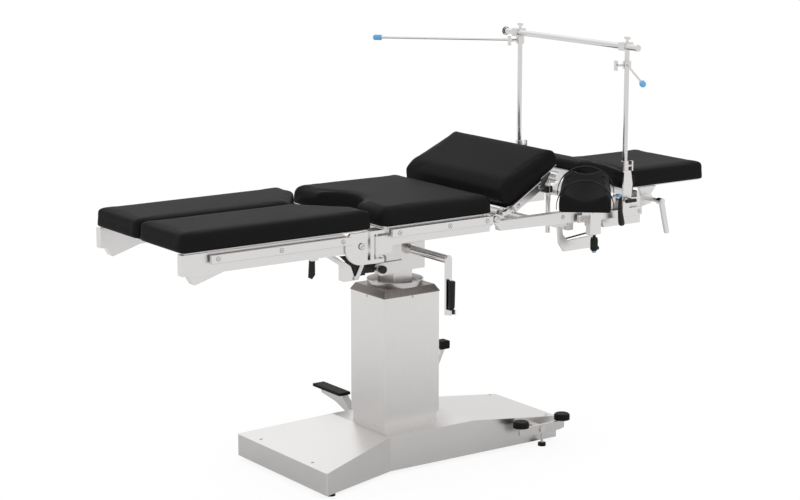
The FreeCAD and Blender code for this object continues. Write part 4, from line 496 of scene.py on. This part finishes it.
def loft(stations: Sequence[tuple[Point, float, float]], segments: int = 20) -> bmesh.types.BMesh:
    """Bridge ovals that lie flat in X and Y, and close both ends.

    Args:
        stations: centre, half width in x and half width in y of each oval, from low to high.
        segments: corners of each oval.

    Returns:
        The closed form.
    """
    shape = bmesh.new()
    edges: list[bmesh.types.BMEdge] = []
    for centre, half_x, half_y in stations:
        ring = bmesh.ops.create_circle(shape, segments=segments, radius=1.0)["verts"]
        bmesh.ops.scale(shape, verts=ring, vec=(half_x, half_y, 1.0))
        bmesh.ops.translate(shape, verts=ring, vec=centre)
        edges.extend({edge for vertex in ring for edge in vertex.link_edges})
    bmesh.ops.bridge_loops(shape, edges=edges)
    bmesh.ops.holes_fill(shape, edges=[edge for edge in shape.edges if edge.is_boundary], sides=segments)
    bmesh.ops.recalc_face_normals(shape, faces=shape.faces[:])
    return shape


@dataclass
class TroughCushion(Pad):
    """The arm support's cushion, made along X from its near end and then swung round."""

    spot: Point = (0.392, -0.460, 0.822)
    yaw: float = 49.4
    pitch: float = 10.0
    length: float = 0.200
    half: float = 0.0820
    floor: float = 0.032
    rim: float = 0.056
    rise: float = 0.034
    hoop: float = 0.0850
    hoop_centre: float = 0.008

    def plan(self) -> bmesh.types.BMesh:
        """A block with a round hollow along its top."""
        reach = self.half - 0.016
        steps = 12
        arc = [(reach - 2 * reach * step / steps,
                self.floor + (self.rim - self.floor) * ((reach - 2 * reach * step / steps) / reach) ** 2)
               for step in range(steps + 1)]
        shoulder, edge_height = self.rim - 0.018, self.rim - 0.004
        inset = self.half - 0.006
        outline = [(-self.half, 0.0), (self.half, 0.0), (self.half, shoulder), (inset, edge_height), *arc,
                   (-inset, edge_height), (-self.half, shoulder)]
        shape = bmesh.new()
        face = shape.faces.new([shape.verts.new((0.0, y, z)) for y, z in outline])
        swept = bmesh.ops.extrude_face_region(shape, geom=[face])
        moved = [item for item in swept["geom"] if isinstance(item, bmesh.types.BMVert)]
        bmesh.ops.translate(shape, verts=moved, vec=(self.length, 0.0, 0.0))
        bmesh.ops.recalc_face_normals(shape, faces=shape.faces[:])
        ends = {edge for edge in shape.edges if abs(edge.verts[0].co.x - edge.verts[1].co.x) < 1e-6
                and max(vertex.co.z for vertex in edge.verts) > 0.01}
        soften(shape, lambda edge: edge in ends, 0.006, 3)
        lines = [edge for edge in shape.edges if abs(edge.verts[0].co.x - edge.verts[1].co.x) > 0.1]
        bmesh.ops.subdivide_edges(shape, edges=lines, cuts=8, use_grid_fill=True)
        for vertex in shape.verts:
            if vertex.co.z > 0.010:
                vertex.co.z += self.rise * max(0.0, vertex.co.x / self.length) ** 1.4
            reach = math.hypot(vertex.co.y, vertex.co.z - self.hoop_centre)
            if vertex.co.z > self.hoop_centre and reach > self.hoop:
                vertex.co.y *= self.hoop / reach
                vertex.co.z = self.hoop_centre + (vertex.co.z - self.hoop_centre) * self.hoop / reach
        return shape

    def place(self) -> Matrix:
        """Swung round and pitched up at its far end."""
        return (Matrix.Translation(Vector(self.spot)) @ Matrix.Rotation(math.radians(self.yaw), 4, "Z")
                @ Matrix.Rotation(-math.radians(self.pitch), 4, "Y"))


@dataclass
class Upholstery:
    """The pads of the table top."""

    half_width: float = 0.264
    base: float = 0.812
    thick: float = 0.0575
    leg_start: float = -0.917
    leg_end: float = -0.262
    leg_gap: float = 0.010
    cut_along: float = 0.121
    cut_across: float = 0.166
    seat: Span = (-0.226, 0.197)
    notch_radius: float = 0.1194
    notch_depth: float = 0.078
    lower_profile: tuple[Span, ...] = ((0.266, 0.812), (0.240, 0.838), (0.257, 0.879), (0.296, 0.889),
                                       (0.499, 0.865), (0.503, 0.830), (0.484, 0.812))
    upper_profile: tuple[Span, ...] = ((0.507, 0.812), (0.504, 0.846), (0.560, 0.8625), (0.620, 0.8695),
                                       (0.762, 0.8695), (0.762, 0.812))

    def build(self, stock: Stock) -> None:
        """Make every pad."""
        inner = self.leg_gap / 2
        top = self.base + self.thick
        for tag, side in (("near", -1), ("far", 1)):
            corners = [(self.leg_start, side * inner), (self.leg_end - self.cut_along, side * inner),
                       (self.leg_end, side * (inner + self.cut_across)), (self.leg_end, side * self.half_width),
                       (self.leg_start, side * self.half_width)]
            Pad("leg_pad_" + tag, "leg_" + tag, corners, self.base, top).build(stock)
        start, end = self.seat
        square = [(start, -self.half_width), (end, -self.half_width), (end, self.half_width),
                  (start, self.half_width)]
        Pad("seat_pad", "seat", square, self.base, top, edge=0.027, corner=0.029,
            notch=(start + self.notch_depth - self.notch_radius, 0.0, self.notch_radius)).build(stock)
        flap = [(0.259, -self.half_width), (0.492, -self.half_width), (0.492, self.half_width),
                (0.259, self.half_width)]
        Pad("lower_flap_pad", "flap_lower", flap, self.base, self.base + 0.077, turn=(0.232, 0.806, 31.0),
            profile=self.lower_profile, edge=0.012).build(stock)
        ridge = [(0.496, -self.half_width), (0.762, -self.half_width), (0.762, self.half_width),
                 (0.496, self.half_width)]
        Pad("upper_flap_pad", "flap_upper", ridge, self.base, top, turn=(0.780, 0.803, -21.0),
            profile=self.upper_profile, edge=0.013).build(stock)
        head = [(0.818, -0.178), (1.159, -0.178), (1.159, 0.178), (0.818, 0.178)]
        Pad("head_pad", "head", head, 0.8156, 0.8746, corner=0.020, edge=0.014).build(stock)
        TroughCushion("support_trough", "cradle", [(0.0, -0.08), (0.19, 0.08)], 0.0, 0.055, voxel=0.005,
                      cap=0.002).build(stock)


@dataclass(frozen=True)
class Screw:
    """A screw head on a node, found by looking at the node from outside.

    Args:
        node: the node it sits on.
        body: the body it rides on.
        start: where the look starts.
        look: direction of the look.
        radius: radius of the head.
        slit: whether it has a slit in place of a socket.
    """

    node: str
    body: str
    start: Point
    look: Point
    radius: float = 0.0062
    slit: bool = False


@dataclass
class Screws:
    """Screw heads with a thin dark line round each."""

    leg_along: tuple[float, ...] = (-0.8055, -0.5939, -0.3802)
    seat_along: tuple[float, ...] = (-0.1756, 0.0107, 0.1533)
    flap_along: tuple[float, ...] = (0.2804, 0.378)
    back_along: tuple[float, ...] = (0.530, 0.6955, 0.7745)
    leg_height: float = 0.7905
    seat_height: float = 0.795
    flap_height: float = 0.8047
    back_height: float = 0.7605
    outside: float = 0.40
    pan_at: tuple[float, float] = (0.469, 0.770)
    leg_pivot_at: tuple[float, float] = (-0.3088, 0.767)
    back_pivot_at: tuple[float, float] = (0.1996, 0.7926)
    flap_hinge_at: tuple[float, float] = (0.232, 0.806)
    flap_angle: float = 31.0
    base_at: tuple[tuple[float, float], ...] = ((-0.408, 0.157), (-0.409, -0.146), (0.505, 0.157), (0.505, -0.146))
    line_wide: float = 0.0009
    line_thick: float = 0.00035

    def table(self) -> list[Screw]:
        """Every screw of the table."""
        rows: list[Screw] = []
        for tag, side in (("near", -1), ("far", 1)):
            look = (0.0, -side, 0.0)
            away = side * self.outside
            initial = tag[0]
            rows += [Screw("leg_rail_" + tag, "leg_" + tag, (x, away, self.leg_height), look) for x in self.leg_along]
            rows += [Screw("seat_rails", "seat", (x, away, self.seat_height), look) for x in self.seat_along]
            turned = [self.on_flap(x, away) for x in self.flap_along]
            rows += [Screw("lower_flap_frame", "flap_lower", place, look) for place in turned]
            rows += [Screw("back_rails", "back", (x, away, self.back_height), look) for x in self.back_along]
            for node, body, (along, height), radius in (
                    ("back_frame", "back", self.pan_at, 0.0056),
                    ("leg_bracket_" + tag, "leg_bracket_" + initial, self.leg_pivot_at, 0.0095),
                    ("back_frame", "back", self.back_pivot_at, 0.0100)):
                rows.append(Screw(node, body, (along, away, height), look, radius, True))
        for start, look in (((-0.3, 0.002, 0.540), (1.0, 0.0, 0.0)), ((0.3, 0.002, 0.540), (-1.0, 0.0, 0.0)),
                            ((0.003, -0.3, 0.541), (0.0, 1.0, 0.0)), ((0.003, 0.3, 0.541), (0.0, -1.0, 0.0))):
            rows.append(Screw("column_cover", "lift", start, look, 0.0026))
        for x, y in self.base_at:
            rows.append(Screw("base_cover", "base", (x, y, 0.4), (0.0, 0.0, -1.0), 0.0042))
        return rows

    def on_flap(self, along: float, away: float) -> Point:
        """Turn a place on the flat flap to where the raised flap has it."""
        hinge, level = self.flap_hinge_at
        turn = Matrix.Rotation(-math.radians(self.flap_angle), 3, "Y")
        place = turn @ Vector((along - hinge, 0.0, self.flap_height - level))
        return (place.x + hinge, away, place.z + level)

    def head(self, screw: Screw) -> bmesh.types.BMesh:
        """A low domed head."""
        radius = screw.radius
        return lathe([(0.0, 0.0), (radius, 0.0), (radius, 0.0006), (radius * 0.86, 0.0011), (0.0, 0.0013)], 28)

    def mark(self, screw: Screw) -> bmesh.types.BMesh:
        """The dark line round the head, and its socket or slit."""
        radius = screw.radius
        inner, outer, thick = radius * 0.98, radius + self.line_wide, self.line_thick
        shape = lathe([(inner, 0.0), (outer, 0.0), (outer, thick), (inner, thick), (inner, 0.0)], 28)
        if screw.slit:
            part = bmesh.new()
            bmesh.ops.create_cube(part, size=1.0)
            bmesh.ops.scale(part, verts=part.verts[:], vec=(radius * 1.5, 0.0012, 0.0003))
            soften(part, upright, 0.0004, 2)
            merge(shape, part, Matrix.Translation((0.0, 0.0, 0.00125)))
        elif radius > 0.003:
            part = bmesh.new()
            bmesh.ops.create_cone(part, cap_ends=True, segments=6, radius1=radius * 0.30, radius2=radius * 0.26,
                                  depth=0.0003)
            merge(shape, part, Matrix.Translation((0.0, 0.0, 0.00135)))
        return shape

    def build(self, stock: Stock, nodes: dict[str, bpy.types.Object]) -> None:
        """Set every screw on its node, one piece for each body."""
        heads: dict[str, bmesh.types.BMesh] = {}
        marks: dict[str, bmesh.types.BMesh] = {}
        for screw in self.table():
            found, spot, normal, _ = nodes[screw.node].ray_cast(Vector(screw.start) + DATUM, Vector(screw.look))
            if not found:
                LOG.warning("no face for a screw on %s at %s", screw.node, screw.start)
                continue
            place = aimed(spot - DATUM, normal, math.radians(35.0))
            merge(heads.setdefault(screw.body, bmesh.new()), self.head(screw), place)
            merge(marks.setdefault(screw.body, bmesh.new()), self.mark(screw), place)
        for body, shape in heads.items():
            finished("screw_heads_" + body, shape, body, stock, "cast")
        for body, shape in marks.items():
            finished("screw_lines_" + body, shape, body, stock, "gap")


@dataclass
class ArmSupport:
    """Straps, lever, knob and their blue ends on the near rail."""

    lever_across: float = -0.3075
    strap_radius: float = 0.0872
    strap_thick: float = 0.0022
    strap_wide: float = 0.010
    strap_centre: float = 0.008
    strap_along: Span = (0.028, 0.160)

    def build(self, stock: Stock) -> None:
        """Make every piece."""
        self.straps(stock)
        self.lever(stock)
        self.knob(stock)

    def straps(self, stock: Stock) -> None:
        """Two narrow hoops over the cushion, down to the board below it."""
        shape = bmesh.new()
        half, thick = self.strap_wide / 2, self.strap_thick
        for along in self.strap_along:
            hoop = bmesh.new()
            low = [hoop.verts.new((x, y, 0.0)) for x, y in ((-half, 0.0), (half, 0.0), (half, thick), (-half, thick))]
            start = hoop.faces.new(low)
            legs = bmesh.ops.extrude_face_region(hoop, geom=[start])
            top = [item for item in legs["geom"] if isinstance(item, bmesh.types.BMFace)]
            bmesh.ops.translate(hoop, verts=top[0].verts[:], vec=(0.0, 0.0, self.strap_centre))
            swept = bmesh.ops.spin(hoop, geom=top, cent=(0.0, -self.strap_radius, self.strap_centre),
                                   axis=(1.0, 0.0, 0.0), angle=math.pi, steps=48)
            last = [item for item in swept["geom_last"] if isinstance(item, bmesh.types.BMFace)]
            foot = bmesh.ops.extrude_face_region(hoop, geom=last)
            ends = [item for item in foot["geom"] if isinstance(item, bmesh.types.BMVert)]
            bmesh.ops.translate(hoop, verts=ends, vec=(0.0, 0.0, -self.strap_centre))
            merge(shape, hoop, Matrix.Translation((along, self.strap_radius, 0.0)))
        cushion = TroughCushion("support_trough", "cradle", [], 0.0, 0.055)
        shape.transform(cushion.place())
        piece = finished("support_hoops", shape, "cradle", stock, "cover")
        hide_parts("support_straps")

    def lever(self, stock: Stock) -> None:
        """A tapered lever that bows a little, with a blue button on its pivot."""
        y = self.lever_across
        stations = [((0.6770, y, 0.7262), 0.0050, 0.0022), ((0.6766, y, 0.7285), 0.0105, 0.0040),
                    ((0.6752, y, 0.7350), 0.0128, 0.0052), ((0.6722, y, 0.7500), 0.0118, 0.0056),
                    ((0.6688, y, 0.7720), 0.0096, 0.0054), ((0.6676, y, 0.7950), 0.0078, 0.0050),
                    ((0.6680, y, 0.8150), 0.0066, 0.0048), ((0.6686, y, 0.8260), 0.0056, 0.0042),
                    ((0.6688, y, 0.8290), 0.0030, 0.0024)]
        piece = finished("support_handle", loft(stations, 24), "handle", stock, "plastic")
        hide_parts("support_lever")
        button = lathe([(0.0, 0.0), (0.0062, 0.0), (0.0066, 0.002), (0.0062, 0.0065), (0.0040, 0.0088),
                        (0.0, 0.0095)])
        shape = bmesh.new()
        merge(shape, button, aimed((0.6610, y - 0.001, 0.8265), (-0.35, -1.0, 0.25)))
        finished("support_button", shape, "handle", stock, "blue")

    def knob(self, stock: Stock) -> None:
        """A fluted sleeve over the clamping screw, with a side lug and a blue end."""
        x, y = 0.571, -0.296
        shape = bmesh.new()
        ring = bmesh.ops.create_circle(shape, cap_ends=True, segments=64, radius=0.0124)["verts"]
        for vertex in [vertex for index, vertex in enumerate(ring) if index % 4 in (0, 1)]:
            vertex.co.xy *= 0.925
        raised = bmesh.ops.extrude_face_region(shape, geom=shape.faces[:])
        tops = [item for item in raised["geom"] if isinstance(item, bmesh.types.BMVert)]
        bmesh.ops.translate(shape, verts=tops, vec=(0.0, 0.0, 0.034))
        rims = {edge for edge in shape.edges if abs(edge.verts[0].co.z - edge.verts[1].co.z) < 1e-6}
        soften(shape, lambda edge: edge in rims, 0.0008, 2)
        bmesh.ops.translate(shape, verts=shape.verts[:], vec=(x, y, 0.6585))
        lug = bmesh.new()
        bmesh.ops.create_cube(lug, size=1.0)
        bmesh.ops.scale(lug, verts=lug.verts[:], vec=(0.010, 0.009, 0.011))
        soften(lug, lambda edge: True, 0.003, 4)
        merge(shape, lug, Matrix.Translation((x + 0.0145, y, 0.6625)))
        finished("support_sleeve", shape, "knob", stock, "plastic")
        end = lathe([(0.0, 0.0), (0.0050, 0.0003), (0.0074, 0.0022), (0.0076, 0.0075), (0.0, 0.0075)])
        tip = bmesh.new()
        merge(tip, end, Matrix.Translation((x, y, 0.6488)))
        finished("support_knob_tip", tip, "knob", stock, "blue")


@dataclass
class ScreenTips:
    """Blue tips of the screen's arms and the dark band at the bar's far end."""

    post_along: float = 0.712
    post_across: float = 0.275
    reach: float = 0.4775
    length: float = 0.0300

    def build(self, stock: Stock) -> None:
        """Make both tips and the band."""
        for body, side, height, angle in (("arm_near", -1, 1.241, 234.4), ("arm_far", 1, 1.273, 135.2)):
            way = Vector((math.cos(math.radians(angle)), math.sin(math.radians(angle)), 0.0))
            cap = lathe([(0.0, -0.0004), (0.0090, 0.0), (0.0095, 0.0012), (0.0095, self.length - 0.0062),
                         (0.0078, self.length - 0.0022), (0.0044, self.length + 0.0002), (0.0, self.length + 0.0008)])
            shape = bmesh.new()
            start = Vector((self.post_along, side * self.post_across, height)) + way * self.reach
            merge(shape, cap, aimed(start, way))
            finished("screen_tip_" + body[4:], shape, body, stock, "blue")
        band = lathe([(0.0131, 0.0), (0.0140, 0.0005), (0.0140, 0.0055), (0.0131, 0.0060), (0.0131, 0.0)])
        shape = bmesh.new()
        merge(shape, band, aimed((0.699, 0.3345, 1.300), (0.0, 1.0, 0.0)))
        finished("screen_bar_band", shape, "screen", stock, "gap")


@dataclass
class Mechanism:
    """Dark pieces of the tilt head and the release linkages, with a dark sheet of painted shade behind each leg's
    hinge.
    """

    # Side view of the dark sheet behind each leg's hinge: painted shade filling the shaded hollow of the bracket.
    painted_shade_outline: tuple[Span, ...] = ((-0.356, 0.7345), (-0.3102, 0.7326), (-0.2660, 0.7080), (-0.2640, 0.6660),
                                       (-0.3048, 0.6660), (-0.3165, 0.6976))
    painted_shade_across: float = 0.2205
    strut_outline: tuple[Span, ...] = ((-0.2850, 0.7040), (-0.2700, 0.7040), (-0.2930, 0.6560), (-0.3080, 0.6560))
    strut_across: float = 0.2270

    def build(self, stock: Stock) -> None:
        """Make every piece."""
        pin = lathe([(0.0, 0.0), (0.0122, 0.0), (0.0122, 0.0110), (0.0112, 0.0122), (0.0, 0.0125)])
        shape = bmesh.new()
        merge(shape, pin, aimed((-0.1186, -0.0990, 0.644), (0.0, -1.0, 0.0)))
        ram = lathe([(0.0, 0.0), (0.0110, 0.0), (0.0135, 0.0020), (0.0135, 0.0640), (0.0110, 0.0660), (0.0, 0.0662)])
        merge(shape, ram, aimed((-0.1060, -0.0700, 0.6440), (-1.0, 0.0, 0.03)))
        finished("tilt_pin_cover", shape, "tilt_head", stock, "gap")
        for tag, side in (("n", -1), ("f", 1)):
            self.leg_lock(stock, tag, side)
        strip = bmesh.new()
        bmesh.ops.create_cone(strip, cap_ends=True, segments=16, radius1=0.0026, radius2=0.0026, depth=0.112)
        rims = {edge for edge in strip.edges if abs(edge.verts[0].co.z - edge.verts[1].co.z) < 1e-6}
        soften(strip, lambda edge: edge in rims, 0.0008, 2)
        shape = bmesh.new()
        merge(shape, strip, aimed((0.5755, -0.2140, 0.6925), (0.9948, 0.0, 0.1013)))
        finished("release_pull_rod", shape, "back_release", stock, "plastic")

    def leg_lock(self, stock: Stock, tag: str, side: int) -> None:
        """A dark sheet of painted shade in the hollow behind a leg's hinge, and the strut across it."""
        # This dark sheet is painted shade: it fills the shaded hollow inside the hinge bracket.
        painted_shade = self.sheet(self.painted_shade_outline, side * self.painted_shade_across, 0.0030)
        finished("leg_painted_shade_" + tag, painted_shade, "leg_bracket_" + tag, stock, "gap")
        strut = self.sheet(self.strut_outline, side * self.strut_across, 0.0035)
        finished("leg_strut_" + tag, strut, "leg_bracket_" + tag, stock, "cast")

    def sheet(self, outline: Sequence[Span], across: float, thick: float) -> bmesh.types.BMesh:
        """A flat piece of sheet drawn in side view, with softened edges.

        Args:
            outline: corners in x and z.
            across: y of its middle.
            thick: its thickness.

        Returns:
            The sheet.
        """
        shape = bmesh.new()
        face = shape.faces.new([shape.verts.new((x, across - thick / 2, z)) for x, z in outline])
        swept = bmesh.ops.extrude_face_region(shape, geom=[face])
        moved = [item for item in swept["geom"] if isinstance(item, bmesh.types.BMVert)]
        bmesh.ops.translate(shape, verts=moved, vec=(0.0, thick, 0.0))
        bmesh.ops.recalc_face_normals(shape, faces=shape.faces[:])
        soften(shape, lambda edge: True, 0.0006, 2)
        return shape


@dataclass
class Studio:
    """Floor, light and camera."""

    eye: Point = (-3.80428, -5.43838, 2.03442)
    aim: Point = (0.01325, -0.00932, 0.6748)
    lens: float = 96.44
    floor_share: float = 0.86
    mirrored_share: float = 0.20
    # Floor colour at the table's foot for rays other than the camera's: painted shade.
    floor_painted_shade: float = 0.62
    floor_away: float = 1.0
    room_level: float = 0.97
    mirrored_low: float = 0.84
    mirrored_high: float = 1.08

    def build(self) -> None:
        """Set up all three."""
        self.floor()
        self.world()
        self.lamps()
        self.camera()

    def floor(self) -> None:
        """A pale floor that is white to the camera and keeps the shadow; to other rays its colour is darker near the
        table's foot, which is painted shade.
        """
        shape = bmesh.new()
        bmesh.ops.create_grid(shape, x_segments=1, y_segments=1, size=30.0)
        mesh = bpy.data.meshes.new("floor")
        shape.to_mesh(mesh)
        shape.free()
        plane = bpy.data.objects.new("floor", mesh)
        bpy.context.scene.collection.objects.link(plane)
        material = bpy.data.materials.new("pale_floor")
        material.use_nodes = True
        nodes = material.node_tree.nodes
        links = material.node_tree.links
        nodes.remove(nodes["Principled BSDF"])
        matt = nodes.new("ShaderNodeBsdfDiffuse")
        glow = nodes.new("ShaderNodeEmission")
        glow.inputs["Color"].default_value = (1.0, 1.0, 1.0, 1.0)
        glow.inputs["Strength"].default_value = 1.02
        path = nodes.new("ShaderNodeLightPath")
        spot = nodes.new("ShaderNodeTexCoord")
        away = nodes.new("ShaderNodeVectorMath")
        away.operation = "DISTANCE"
        away.inputs[1].default_value = DATUM
        links.new(spot.outputs["Object"], away.inputs[0])
        # Painted shade: the floor's colour for rays other than the camera's darkens towards the table's foot.
        under = nodes.new("ShaderNodeMapRange")
        under.interpolation_type = "SMOOTHSTEP"
        under.inputs["From Min"].default_value = 0.45
        under.inputs["From Max"].default_value = 2.0
        under.inputs["To Min"].default_value = self.floor_painted_shade
        under.inputs["To Max"].default_value = self.floor_away
        links.new(away.outputs["Value"], under.inputs["Value"])
        paler = nodes.new("ShaderNodeMapRange")
        links.new(under.outputs["Result"], paler.inputs["To Min"])
        paler.inputs["To Max"].default_value = 1.0
        links.new(path.outputs["Is Camera Ray"], paler.inputs["Value"])
        links.new(paler.outputs["Result"], matt.inputs["Color"])
        mirrored = nodes.new("ShaderNodeMath")
        mirrored.operation = "MULTIPLY"
        mirrored.inputs[1].default_value = self.mirrored_share
        links.new(path.outputs["Is Glossy Ray"], mirrored.inputs[0])
        direct = nodes.new("ShaderNodeMath")
        direct.operation = "MULTIPLY"
        direct.inputs[1].default_value = self.floor_share
        links.new(path.outputs["Is Camera Ray"], direct.inputs[0])
        share = nodes.new("ShaderNodeMath")
        share.operation = "MAXIMUM"
        links.new(direct.outputs[0], share.inputs[0])
        links.new(mirrored.outputs[0], share.inputs[1])
        mix = nodes.new("ShaderNodeMixShader")
        links.new(share.outputs[0], mix.inputs["Fac"])
        links.new(matt.outputs[0], mix.inputs[1])
        links.new(glow.outputs[0], mix.inputs[2])
        links.new(mix.outputs[0], nodes["Material Output"].inputs["Surface"])
        mesh.materials.append(material)

    def world(self) -> None:
        """White to the camera, soft grey as light."""
        world = bpy.data.worlds.new("studio")
        bpy.context.scene.world = world
        world.use_nodes = True
        nodes = world.node_tree.nodes
        links = world.node_tree.links
        back = nodes["Background"]
        path = nodes.new("ShaderNodeLightPath")
        seen = nodes.new("ShaderNodeMath")
        seen.operation = "MAXIMUM"
        links.new(path.outputs["Is Camera Ray"], seen.inputs[0])
        links.new(path.outputs["Is Transmission Ray"], seen.inputs[1])
        level = nodes.new("ShaderNodeMapRange")
        level.inputs["To Min"].default_value = self.room_level
        level.inputs["To Max"].default_value = 1.0
        links.new(seen.outputs[0], level.inputs["Value"])
        way = nodes.new("ShaderNodeTexCoord")
        split = nodes.new("ShaderNodeSeparateXYZ")
        links.new(way.outputs["Generated"], split.inputs["Vector"])
        climb = nodes.new("ShaderNodeMapRange")
        climb.interpolation_type = "SMOOTHSTEP"
        climb.inputs["From Min"].default_value = -0.10
        climb.inputs["From Max"].default_value = 0.60
        climb.inputs["To Min"].default_value = self.mirrored_low
        climb.inputs["To Max"].default_value = self.mirrored_high
        links.new(split.outputs["Z"], climb.inputs["Value"])
        choose = nodes.new("ShaderNodeMix")
        choose.data_type = "FLOAT"
        links.new(path.outputs["Is Glossy Ray"], choose.inputs["Factor"])
        links.new(level.outputs["Result"], choose.inputs["A"])
        links.new(climb.outputs["Result"], choose.inputs["B"])
        back.inputs["Color"].default_value = (1.0, 1.0, 1.0, 1.0)
        links.new(choose.outputs["Result"], back.inputs["Strength"])

    def lamps(self) -> None:
        """Two large soft lamps and a weak one from behind."""
        for name, place, size, power in (("key", (-2.6, -3.4, 3.6), 3.4, 12.0), ("fill", (3.4, -3.0, 2.4), 3.0, 5.0),
                                         ("back", (1.0, 3.6, 3.2), 3.4, 6.0)):
            lamp = bpy.data.lights.new(name, "AREA")
            lamp.shape = "DISK"
            lamp.size = size
            lamp.energy = power
            holder = bpy.data.objects.new(name, lamp)
            holder.location = Vector(place) + DATUM
            holder.rotation_euler = (Vector((0.1, 0.0, 0.7)) - Vector(place)).to_track_quat("-Z", "Y").to_euler()
            bpy.context.scene.collection.objects.link(holder)

    def camera(self) -> None:
        """The photograph's view."""
        view = bpy.data.cameras.new("camera")
        view.lens = self.lens
        view.sensor_width = 36.0
        view.clip_end = 100.0
        holder = bpy.data.objects.new("camera", view)
        holder.location = Vector(self.eye) + DATUM
        holder.rotation_euler = (Vector(self.aim) - Vector(self.eye)).to_track_quat("-Z", "Y").to_euler()
        bpy.context.scene.collection.objects.link(holder)
        bpy.context.scene.camera = holder
        bpy.context.scene.view_settings.view_transform = "Standard"


def dress_frame(frame: dict, stock: Stock) -> None:
    """Give every carried-over node its finish.

    Args:
        stock: the materials.
    """
    slots = {entry["node"]: entry["material_slot"] for entry in frame["record"]["subparts"]}
    for name, node in frame["nodes"].items():
        key = BRUSHING.get(name, SLOT_FINISH[slots[name]])
        for place in node.material_slots:
            place.material = stock.made[key]
        if not node.material_slots:
            node.data.materials.append(stock.made[key])
        LOG.info("%s: %s", name, key)


def main() -> None:
    """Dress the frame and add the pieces."""
    logging.basicConfig(level=logging.INFO, format="%(message)s")
    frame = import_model()
    stock = Stock()
    dress_frame(frame, stock)
    Upholstery().build(stock)
    Screws().build(stock, frame["nodes"])
    ArmSupport().build(stock)
    ScreenTips().build(stock)
    Mechanism().build(stock)
    Studio().build()


if __name__ == "__main__":
    main()
